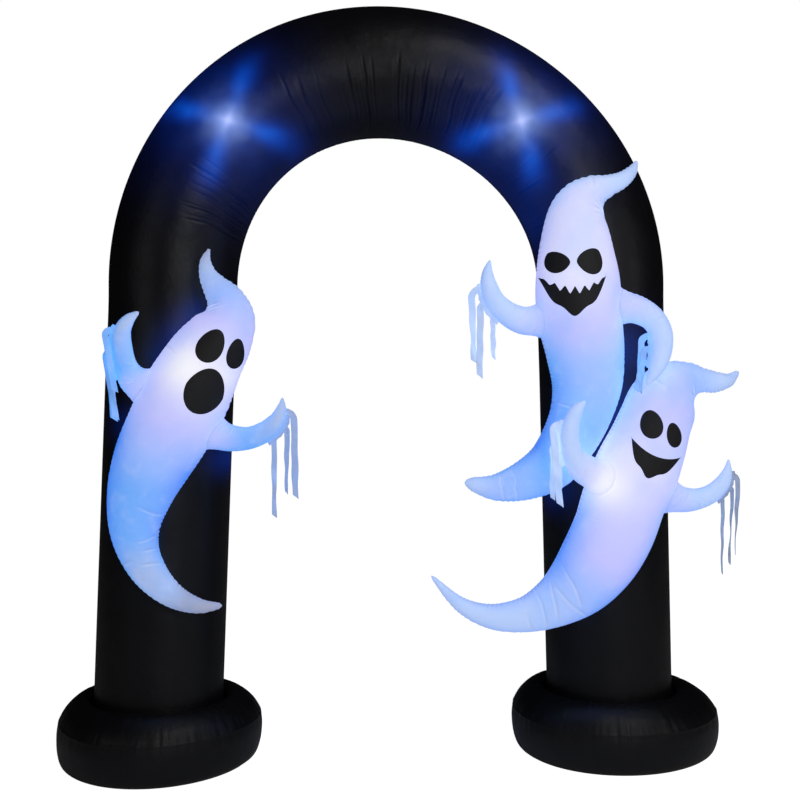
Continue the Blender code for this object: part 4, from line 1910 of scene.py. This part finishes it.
@dataclass
class Ghost:
    """Filled ghost sewn to a leg: body, two sleeves with their hands, fringes and face.

    inner_out is 1 where the inner hand's outer seam is on its form's own side, and else -1.
    """

    name: str
    body: FilledForm
    inner: FilledForm
    outer: FilledForm
    inner_out: float
    inner_ribbons: tuple[Ribbon, ...]
    outer_ribbons: tuple[Ribbon, ...]
    ribbon_tints: tuple[Tint, Tint]
    spots: tuple[HotSpot, ...]
    prints: tuple[Print, ...]
    seed: int
    gap: float = 0.001
    root_gap: float = 0.0006
    press_reach: float = 0.08
    armhole_reach: float = 0.045
    armhole_spread: float = 0.01

    def skin(self, pressed_by: Surface | None) -> tuple[Points, Faces, Points]:
        """Body's skin.

        Args:
            pressed_by: Surface of a ghost that lies against it.

        Returns:
            Its points, its faces and its glow.
        """
        shares = self.body.shares
        grid, depth = self.body.grid(shares)
        glow = self.body.glow(shares, grid, depth, self.spots).reshape(-1, 3)
        grid = ARCH.clear_of_tube(grid, 0.0012)
        if pressed_by is not None:
            for row in grid:
                for i, point in enumerate(row):
                    if -self.press_reach < pressed_by.height(point) < self.gap:
                        row[i] = pressed_by.nearest(point, self.gap)
        points = np.concatenate([grid.reshape(-1, 3), np.array(self.body.poles())])
        return points, capped_faces(*grid.shape[:2]), np.concatenate([glow, glow[:1], glow[-1:]])

    def cut_at_chest(self, form: FilledForm, chest: Surface) -> tuple[Points, Points]:
        """Sleeve without the stretch that lies inside the chest.

        Args:
            form: The sleeve's form.
            chest: The body's surface.

        Returns:
            Grids of its points and of its glow.
        """
        shares = form.shares
        grid, depth = form.grid(shares)
        glow = form.glow(shares, grid, depth, self.spots)
        searched = form.rings * 2 // 3
        height = np.array([[chest.height(point) for point in row] for row in grid[:searched]])
        both = np.concatenate([grid, glow], -1)
        strands = []
        for k in range(form.sides):
            inside = np.nonzero(height[:, k] < 0.0)[0]
            last = int(inside[-1]) if len(inside) else 0
            low, high = height[last, k], height[min(last + 1, searched - 1), k]
            leaves = last + np.clip(-low / max(high - low, 1e-6), 0.0, 1.0)
            at = leaves + (form.rings - 1 - leaves) * shares
            rings = np.arange(form.rings)
            strands.append([np.interp(at, rings, both[:, k, axis]) for axis in range(6)])
        cut = np.array(strands).transpose(2, 0, 1)
        return cut[..., :3], cut[..., 3:]

    def sleeve(self, side: str, form: FilledForm, chest: Surface, cloth: Finish) -> Piece:
        """Makes a sleeve whose root lies on the chest.

        Args:
            side: inner or outer.
            form: The sleeve's form.
            chest: The body's surface.
            cloth: Its finish.

        Returns:
            The sleeve.
        """
        skin, tint = self.cut_at_chest(form, chest)
        shares = form.shares[:, None, None]
        rooted = np.clip(1.0 - shares / 0.22, 0.0, 1.0) ** 1.5
        chest_tint = np.array([chest.colour(point) for point in skin[0]])
        tint = tint + (chest_tint - tint) * rooted
        # Painted shade: the glow darkens at the sleeve's root, where it meets the chest.
        tint *= 1.0 - 0.22 * hump(shares, 0.02)
        skin = ARCH.clear_of_tube(self.flared(skin, chest), self.gap)
        root = skin[0].mean(0)
        cap = [
            [chest.nearest(root + (point - root) * share, self.root_gap) for point in skin[0]]
            for share in (0.25, 0.5, 0.75)
        ]
        grid = np.concatenate([np.array(cap), skin])
        tints = np.concatenate([np.repeat(tint[:1], len(cap), 0), tint]).reshape(-1, 3)
        poles = np.array([chest.nearest(root, self.root_gap), form.poles()[1]])
        points = np.concatenate([grid.reshape(-1, 3), poles])
        tints = np.concatenate([tints, tints[:1], tints[-1:]])
        name = f"{self.name}_sleeve_{side}"
        faces = capped_faces(*grid.shape[:2])
        made = mesh_object(f"{name}_cloth", points, faces, cloth, tints)
        return fit_filled(made, Slot.GHOST, name)

    def flared(self, skin: Points, chest: Surface) -> Points:
        """Sleeve whose root spreads a little over the chest, as a sewn armhole does.

        Args:
            skin: Grid of the sleeve's points.
            chest: The body's surface.

        Returns:
            The spread grid.
        """
        away = np.linalg.norm(skin - skin[:1], axis=-1)
        fade = np.clip(1.0 - away / self.armhole_reach, 0.0, 1.0)[..., None] ** 2
        outward = unit(skin - skin.mean(1, keepdims=True))
        flared = skin + outward * self.armhole_spread * fade
        settled = np.array([chest.nearest(point, self.root_gap) for point in flared[0]])
        return flared + (settled - flared[0]) * fade

    def build(
        self, cloth: Finish, ink: Finish, thread: Finish,
        sewing: Stitching, pressed_by: Surface | None = None,
    ) -> Surface:
        """Makes the ghost.

        Args:
            cloth: Finish of its cloth.
            ink: Finish of its face.
            thread: Finish of its seams.
            sewing: Stitches for its seams.
            pressed_by: Surface of a ghost that lies against it.

        Returns:
            The body's surface.
        """
        points, faces, glow = self.skin(pressed_by)
        made = mesh_object(f"{self.name}_cloth", points, faces, cloth, glow)
        fit_filled(made, Slot.GHOST, f"{self.name}_body")
        skin = Surface(points, faces, glow)
        lines = self.body.seam_lines()
        inner, outer = self.ribbon_tints
        for side, form, outward, ribbons, tint, seed in (
            ("inner", self.inner, self.inner_out, self.inner_ribbons, inner, self.seed + 200),
            ("outer", self.outer, -self.inner_out, self.outer_ribbons, outer, self.seed + 300),
        ):
            hand = self.sleeve(side, form, skin, cloth)
            lines += form.seam_lines(0.35)
            fringe = Fringe(f"{self.name}_fringe_{side}", form, outward, ribbons, tint, seed)
            fringe.build(cloth, hand)
        Face(f"{self.name}_face", self.prints).build(skin, ink)
        seams = [ARCH.clear_of_tube(line, 0.0015) for line in lines]
        sewing.sew(f"{self.name}_stitches", seams, thread, Slot.GHOST)
        return skin


DEEP_SLEEVE = rows(
    Stop,
    (0.0, Tint.PALE, Tint.LAVENDER), (0.26, Tint.LAVENDER, Tint.BLUE), (0.5, Tint.BLUE, Tint.BLUE),
    (0.8, Tint.STEEL, Tint.BLUE), (1.0, Tint.STEEL, Tint.STEEL),
)
PALE_SLEEVE = rows(
    Stop,
    (0.0, Tint.PALE, Tint.LAVENDER), (0.26, Tint.LAVENDER, Tint.PERIWINKLE),
    (0.5, Tint.ICE, Tint.PERIWINKLE), (0.8, Tint.ICE, Tint.PERIWINKLE), (1.0, Tint.ICE, Tint.STEEL),
)


def wailing_ghost() -> Ghost:
    """Left ghost, its hood turned to the right."""
    body = body_form(
        rows(
            Station,
            (-0.598, 1.785, -0.28, 0.005), (-0.609, 1.745, -0.283, 0.019), (-0.6, 1.7, -0.287, 0.031),
            (-0.575, 1.66, -0.296, 0.045), (-0.54, 1.612, -0.306, 0.066), (-0.531, 1.555, -0.314, 0.091),
            (-0.56, 1.49, -0.318, 0.113), (-0.612, 1.41, -0.321, 0.131), (-0.67, 1.3, -0.324, 0.146),
            (-0.728, 1.185, -0.326, 0.142), (-0.78, 1.085, -0.326, 0.131), (-0.82, 0.985, -0.325, 0.112),
            (-0.842, 0.875, -0.323, 0.088), (-0.83, 0.778, -0.32, 0.069), (-0.785, 0.692, -0.316, 0.056),
            (-0.715, 0.625, -0.31, 0.041), (-0.635, 0.59, -0.3, 0.026), (-0.565, 0.588, -0.29, 0.01),
        ),
        rows(
            Stop,
            (0.0, Tint.MIST, Tint.STEEL), (0.1, Tint.STEEL, Tint.STEEL),
            (0.22, Tint.PERIWINKLE, Tint.STEEL), (0.32, Tint.LAVENDER, Tint.LAVENDER),
            (0.42, Tint.PALE, Tint.LAVENDER), (0.52, Tint.LAVENDER, Tint.PERIWINKLE),
            (0.58, Tint.PERIWINKLE, Tint.SKY), (0.64, Tint.BLUE, Tint.SKY), (0.73, Tint.BLUE, Tint.SKY),
            (0.8, Tint.STEEL, Tint.BLUE), (0.86, Tint.STEEL, Tint.STEEL), (0.91, Tint.MIST, Tint.MIST),
            (1.0, Tint.MIST, Tint.MIST),
        ),
        rows(
            Crease,
            (0.675, 50.0, 30.0, 0.0022, 0.004, 0.02), (0.735, 50.0, 26.0, 0.0026, 0.0035, -0.012),
            (0.765, 46.0, 22.0, 0.0024, 0.0035, 0.016), (0.775, 132.0, 22.0, 0.0018, 0.0035, -0.01),
            (0.795, 56.0, 30.0, 0.0026, 0.004, 0.024), (0.235, 138.0, 28.0, 0.0042, 0.0042, 0.018),
            (0.262, 134.0, 26.0, 0.0038, 0.004, -0.014), (0.42, 150.0, 20.0, 0.0018, 0.004, 0.01),
        ),
        seed=101,
    )
    inner = sleeve_form(
        rows(
            Station,
            (-0.675, 1.225, -0.322, 0.054), (-0.625, 1.2, -0.323, 0.053), (-0.578, 1.173, -0.326, 0.05),
            (-0.525, 1.157, -0.334, 0.045), (-0.463, 1.157, -0.346, 0.038), (-0.408, 1.179, -0.358, 0.035),
            (-0.368, 1.214, -0.37, 0.03), (-0.353, 1.255, -0.378, 0.017), (-0.349, 1.289, -0.38, 0.004),
        ),
        DEEP_SLEEVE,
        seed=111,
    )
    outer = sleeve_form(
        rows(
            Station,
            (-0.705, 1.298, -0.322, 0.056), (-0.757, 1.308, -0.324, 0.056), (-0.797, 1.323, -0.33, 0.054),
            (-0.84, 1.351, -0.342, 0.049), (-0.862, 1.4, -0.356, 0.036), (-0.871, 1.46, -0.368, 0.032),
            (-0.869, 1.51, -0.376, 0.028), (-0.848, 1.546, -0.38, 0.02), (-0.818, 1.57, -0.382, 0.006),
        ),
        DEEP_SLEEVE,
        seed=121,
    )
    return Ghost(
        "wailing_ghost", body, inner, outer, -1.0,
        rows(
            Ribbon,
            (0.64, 0.012, 0.235, 0.022, 55, 0.0, 0.006), (0.745, 0.012, 0.195, 0.022, 74, -0.004, -0.008),
            (0.855, 0.026, 0.245, 0.026, 25, 0.004, 0.01),
        ),
        rows(
            Ribbon,
            (0.46, 0.01, 0.12, 0.026, 20, 0.012, 0.024), (0.6, 0.01, 0.19, 0.026, 10, 0.03, 0.012),
            (0.74, 0.01, 0.17, 0.024, 35, 0.036, 0.045),
        ),
        (Tint.PEWTER, Tint.BLUE),
        rows(
            HotSpot,
            (-0.655, 1.39, 0.07, 0.9), (-0.6, 1.375, 0.11, 0.4), (-0.505, 1.365, 0.055, 0.55),
        ),
        rows(
            Print,
            (Motif.EYE, -0.577, 1.462, 0.042, 0.058, -30.0), (Motif.EYE, -0.5, 1.436, 0.026, 0.05, -12.0),
            (Motif.HOWL, -0.596, 1.318, 0.07, 0.074, -26.0),
        ),
        seed=100,
    )


def grinning_ghost() -> Ghost:
    """Upper right ghost."""
    body = body_form(
        rows(
            Station,
            (0.842, 2.086, -0.3, 0.006), (0.826, 2.054, -0.3, 0.02), (0.792, 2.024, -0.302, 0.029),
            (0.742, 2.003, -0.304, 0.039), (0.695, 1.984, -0.306, 0.058), (0.658, 1.948, -0.307, 0.083),
            (0.637, 1.89, -0.308, 0.102), (0.636, 1.79, -0.308, 0.125), (0.642, 1.68, -0.308, 0.142),
            (0.648, 1.57, -0.308, 0.143), (0.668, 1.45, -0.308, 0.133), (0.675, 1.34, -0.31, 0.12),
            (0.653, 1.235, -0.314, 0.104), (0.612, 1.145, -0.316, 0.094), (0.556, 1.064, -0.316, 0.087),
            (0.465, 1.01, -0.314, 0.069), (0.365, 0.986, -0.312, 0.046), (0.275, 1.0, -0.31, 0.021),
        ),
        rows(
            Stop,
            (0.0, Tint.STEEL, Tint.STEEL), (0.14, Tint.ICE, Tint.STEEL), (0.28, Tint.PALE, Tint.ICE),
            (0.44, Tint.PALE, Tint.LAVENDER), (0.55, Tint.LAVENDER, Tint.PERIWINKLE),
            (0.61, Tint.PERIWINKLE, Tint.BLUE), (0.72, Tint.BLUE, Tint.SKY), (0.84, Tint.BLUE, Tint.SKY),
            (0.93, Tint.PERIWINKLE, Tint.BLUE), (1.0, Tint.ICE, Tint.STEEL),
        ),
        rows(
            Crease,
            (0.262, 34.0, 28.0, 0.0046, 0.0042, 0.026), (0.28, 32.0, 34.0, 0.005, 0.004, 0.01),
            (0.298, 36.0, 32.0, 0.005, 0.0042, -0.008), (0.318, 34.0, 26.0, 0.0042, 0.004, -0.026),
            (0.23, 130.0, 26.0, 0.0018, 0.004, 0.014), (0.7, 130.0, 28.0, 0.002, 0.004, 0.01),
            (0.905, 80.0, 60.0, 0.0018, 0.003, 0.004), (0.93, 90.0, 60.0, 0.0018, 0.003, -0.003),
        ),
        seed=401,
    )
    inner = sleeve_form(
        rows(
            Station,
            (0.62, 1.57, -0.31, 0.053), (0.565, 1.557, -0.312, 0.052), (0.507, 1.548, -0.316, 0.05),
            (0.452, 1.549, -0.325, 0.047), (0.401, 1.571, -0.338, 0.041), (0.357, 1.609, -0.351, 0.036),
            (0.336, 1.655, -0.362, 0.03), (0.329, 1.702, -0.368, 0.019), (0.336, 1.744, -0.37, 0.004),
        ),
        PALE_SLEEVE,
        seed=411,
    )
    outer = sleeve_form(
        rows(
            Station,
            (0.67, 1.606, -0.312, 0.058), (0.73, 1.604, -0.314, 0.056), (0.785, 1.598, -0.32, 0.053),
            (0.838, 1.585, -0.34, 0.048), (0.88, 1.556, -0.37, 0.042), (0.9, 1.512, -0.402, 0.039),
            (0.898, 1.464, -0.432, 0.036), (0.884, 1.415, -0.454, 0.031), (0.862, 1.372, -0.468, 0.021),
            (0.84, 1.339, -0.474, 0.006),
        ),
        PALE_SLEEVE,
        seed=421,
    )
    return Ghost(
        "grinning_ghost", body, inner, outer, 1.0,
        rows(
            Ribbon,
            (0.555, 0.01, 0.115, 0.02, 45, 0.004, -0.012), (0.655, 0.018, 0.215, 0.026, 8, -0.004, 0.01),
            (0.765, 0.034, 0.2, 0.026, 15, 0.008, -0.006),
        ),
        rows(
            Ribbon,
            (0.6, 0.026, 0.15, 0.026, 20, -0.014, 0.034), (0.72, 0.014, 0.115, 0.024, -10, -0.018, 0.014),
            (0.84, 0.01, 0.07, 0.022, 15, -0.02, 0.008),
        ),
        (Tint.ICE, Tint.BLUE),
        (HotSpot(0.6, 1.69, 0.09, 0.35), HotSpot(0.64, 1.8, 0.12, 0.15)),
        rows(
            Print,
            (Motif.SLY, 0.56, 1.748, 0.038, 0.049, -28.0), (Motif.SLY, 0.655, 1.752, -0.043, 0.06, 30.0),
            (Motif.GRIN, 0.609, 1.65, 0.108, 0.082, 0.0),
        ),
        seed=400,
    )


def smiling_ghost() -> Ghost:
    """Lower right ghost, leaning to the right."""
    body = body_form(
        rows(
            Station,
            (1.182, 1.374, -0.34, 0.008), (1.15, 1.348, -0.34, 0.024), (1.104, 1.342, -0.34, 0.037),
            (1.06, 1.348, -0.34, 0.043), (1.018, 1.348, -0.338, 0.064), (0.972, 1.327, -0.336, 0.095),
            (0.932, 1.277, -0.334, 0.118), (0.904, 1.21, -0.332, 0.123), (0.876, 1.13, -0.33, 0.133),
            (0.84, 1.04, -0.328, 0.143), (0.802, 0.95, -0.326, 0.141), (0.764, 0.835, -0.324, 0.138),
            (0.712, 0.738, -0.322, 0.131), (0.645, 0.655, -0.32, 0.113), (0.56, 0.592, -0.318, 0.085),
            (0.46, 0.552, -0.316, 0.06), (0.35, 0.548, -0.314, 0.043), (0.245, 0.59, -0.312, 0.026),
            (0.15, 0.684, -0.31, 0.006),
        ),
        rows(
            Stop,
            (0.0, Tint.STEEL, Tint.STEEL), (0.1, Tint.ICE, Tint.STEEL),
            (0.22, Tint.PERIWINKLE, Tint.PERIWINKLE), (0.34, Tint.LAVENDER, Tint.PERIWINKLE),
            (0.48, Tint.PALE, Tint.LAVENDER), (0.58, Tint.LAVENDER, Tint.PERIWINKLE),
            (0.66, Tint.LAVENDER, Tint.SKY), (0.72, Tint.PERIWINKLE, Tint.SKY),
            (0.84, Tint.ICE, Tint.PERIWINKLE), (1.0, Tint.ICE, Tint.STEEL),
        ),
        rows(
            Crease,
            (0.728, 104.0, 40.0, 0.0028, 0.0038, 0.03), (0.752, 84.0, 50.0, 0.0028, 0.0036, -0.014),
            (0.772, 104.0, 40.0, 0.003, 0.0036, 0.034), (0.8, 96.0, 52.0, 0.0026, 0.0036, 0.01),
            (0.826, 70.0, 30.0, 0.002, 0.0036, -0.012), (0.228, 40.0, 30.0, 0.0042, 0.0042, 0.014),
            (0.25, 44.0, 28.0, 0.0036, 0.004, -0.01), (0.3, 140.0, 26.0, 0.002, 0.004, 0.014),
        ),
        seed=701,
    )
    inner = sleeve_form(
        rows(
            Station,
            (0.765, 1.008, -0.35, 0.056), (0.718, 1.022, -0.38, 0.055), (0.675, 1.04, -0.415, 0.053),
            (0.63, 1.066, -0.45, 0.048), (0.596, 1.107, -0.476, 0.037), (0.582, 1.157, -0.488, 0.032),
            (0.586, 1.208, -0.492, 0.028), (0.603, 1.251, -0.494, 0.022), (0.629, 1.28, -0.494, 0.006),
        ),
        PALE_SLEEVE,
        seed=711,
    )
    outer = sleeve_form(
        rows(
            Station,
            (0.835, 0.998, -0.33, 0.055), (0.888, 0.976, -0.332, 0.054), (0.95, 0.954, -0.335, 0.05),
            (1.002, 0.944, -0.342, 0.043), (1.047, 0.948, -0.352, 0.036), (1.089, 0.967, -0.362, 0.032),
            (1.121, 1.0, -0.37, 0.027), (1.138, 1.042, -0.376, 0.016), (1.141, 1.081, -0.378, 0.003),
        ),
        PALE_SLEEVE,
        seed=721,
    )
    return Ghost(
        "smiling_ghost", body, inner, outer, 1.0,
        rows(
            Ribbon,
            (0.5, 0.01, 0.12, 0.022, 40, 0.006, -0.01), (0.61, 0.024, 0.15, 0.022, 30, 0.002, -0.004),
            (0.73, 0.01, 0.228, 0.028, 5, 0.016, 0.024),
        ),
        rows(
            Ribbon,
            (0.66, 0.012, 0.235, 0.018, 50, -0.004, 0.008), (0.76, 0.014, 0.24, 0.018, 65, -0.006, -0.008),
            (0.855, 0.022, 0.235, 0.02, 55, -0.01, 0.006),
        ),
        (Tint.ICE, Tint.SLATE),
        (HotSpot(0.722, 1.0, 0.06, 0.85), HotSpot(0.75, 0.99, 0.13, 0.3)),
        rows(
            Print,
            (Motif.EYE, 0.864, 1.204, 0.036, 0.047, 8.0), (Motif.EYE, 0.94, 1.168, 0.027, 0.042, 14.0),
            (Motif.SMILE, 0.872, 1.094, 0.092, 0.064, -22.0),
        ),
        seed=700,
    )


# Studio


@dataclass(frozen=True)
class SoftBox:
    """Square light that faces a point."""

    name: str
    place: tuple[float, float, float]
    aim: tuple[float, float, float]
    size: float
    power: float

    def build(self) -> None:
        """Hangs the light."""
        data = bpy.data.lights.new(self.name, "AREA")
        data.size = self.size
        data.energy = self.power
        made = linked(self.name, data)
        made.location = self.place
        toward = Vector(self.aim) - Vector(self.place)
        made.rotation_euler = toward.to_track_quat("-Z", "Y").to_euler()


@dataclass(frozen=True)
class Studio:
    """White studio: pale floor, soft lights, and the camera of the photo."""

    camera_place: tuple[float, float, float] = (-0.1769, -4.2259, 1.4)
    camera_pitch: float = 88.3
    camera_yaw: float = -2.75
    lens: float = 53.46
    fill: float = 0.006
    floor_glow: float = 0.02
    floor_reach: float = 40.0
    floor_drop: float = 0.0008
    lights: tuple[SoftBox, ...] = (
        SoftBox("front_light", (1.3, -5.4, 2.6), (0.0, 0.0, 1.2), 1.5, 34.0),
        SoftBox("side_light", (-4.2, -3.6, 2.4), (0.0, 0.0, 1.2), 1.4, 8.0),
        SoftBox("top_light", (1.6, -2.4, 4.6), (0.2, 0.0, 1.7), 1.4, 24.0),
        SoftBox("right_light", (4.4, -3.0, 2.0), (0.7, 0.0, 1.5), 1.2, 9.0),
    )

    def build(self) -> None:
        """Makes the floor, the world, the lights and the camera."""
        self.build_floor()
        self.build_world()
        for light in self.lights:
            light.build()
        data = bpy.data.cameras.new("camera")
        data.sensor_width = 36.0
        data.lens = self.lens
        camera = linked("camera", data)
        camera.location = self.camera_place
        camera.rotation_euler = (math.radians(self.camera_pitch), 0.0, math.radians(self.camera_yaw))
        scene = bpy.context.scene
        scene.camera = camera
        scene.view_settings.view_transform = "Standard"

    def build_floor(self) -> None:
        """Pale floor that glows a little, so that it stays as pale as the wall."""
        shader = Shader("pale_floor", 0.85)
        seen = shader.field(shader.node("ShaderNodeLightPath").outputs["Is Camera Ray"])
        shader.paint(
            Base_Color=(0.86, 0.86, 0.87, 1.0), Specular_IOR_Level=0.1,
            Emission_Color=(1.0, 1.0, 1.0, 1.0),
            Emission_Strength=seen * (1.0 - self.floor_glow) + self.floor_glow,
        )
        mesh = bpy.data.meshes.new("floor")
        reach = self.floor_reach
        reshaped(mesh, lambda bm: bmesh.ops.create_grid(bm, x_segments=1, y_segments=1, size=reach))
        mesh.materials.append(shader.material)
        floor = linked("floor", mesh)
        floor.location = (0.0, 0.0, -self.floor_drop)

    def build_world(self) -> None:
        """White wall behind, and dimmer light from all round."""
        world = bpy.data.worlds.new("studio")
        bpy.context.scene.world = world
        world.use_nodes = True
        tree = Tree(world.node_tree)
        world.node_tree.nodes.clear()
        seen = tree.node("ShaderNodeLightPath").outputs["Is Camera Ray"]
        strength = tree.field(seen) * (1.0 - self.fill) + self.fill
        wall = tree.node("ShaderNodeBackground", Color=(1.0, 1.0, 1.0, 1.0), Strength=strength)
        tree.node("ShaderNodeOutputWorld", Surface=wall.outputs["Background"])


def main() -> None:
    """Builds every piece in order."""
    logging.basicConfig(level=logging.INFO, format="%(message)s")
    lit_black = BlackNylon().material(LAMPS, HAZES)
    plain_black = BlackNylon().material()
    ghost_cloth = GhostNylon().material()
    ink = Ink().material()
    black_thread = Thread("black_thread", (0.02, 0.02, 0.022), 0.0).material()
    # The ghosts' thread has a painted glow of 0.5, as if lit by the lamps inside their cloth.
    pale_thread = Thread("pale_thread", (0.45, 0.55, 0.9), 0.5).material()
    sewing = Stitching()
    tube = ArchTube(ARCH)
    tube.build(lit_black)
    bases = (
        RingBase("base_ring_left", ARCH.left, 0.93, 0.002, 0.007, 0.9, 11),
        RingBase("base_ring_right", ARCH.right, 1.03, 0.01, 0.006, 2.2, 23),
    )
    for base in bases:
        base.build(plain_black)
    seams = tube.seams() + [base.seam() for base in bases]
    sewing.sew("arch_stitches", seams, black_thread, Slot.BLACK)
    wailing_ghost().build(ghost_cloth, ink, pale_thread, sewing)
    lower = smiling_ghost().build(ghost_cloth, ink, pale_thread, sewing)
    grinning_ghost().build(ghost_cloth, ink, pale_thread, sewing, lower)
    Studio().build()


if __name__ == "__main__":
    main()
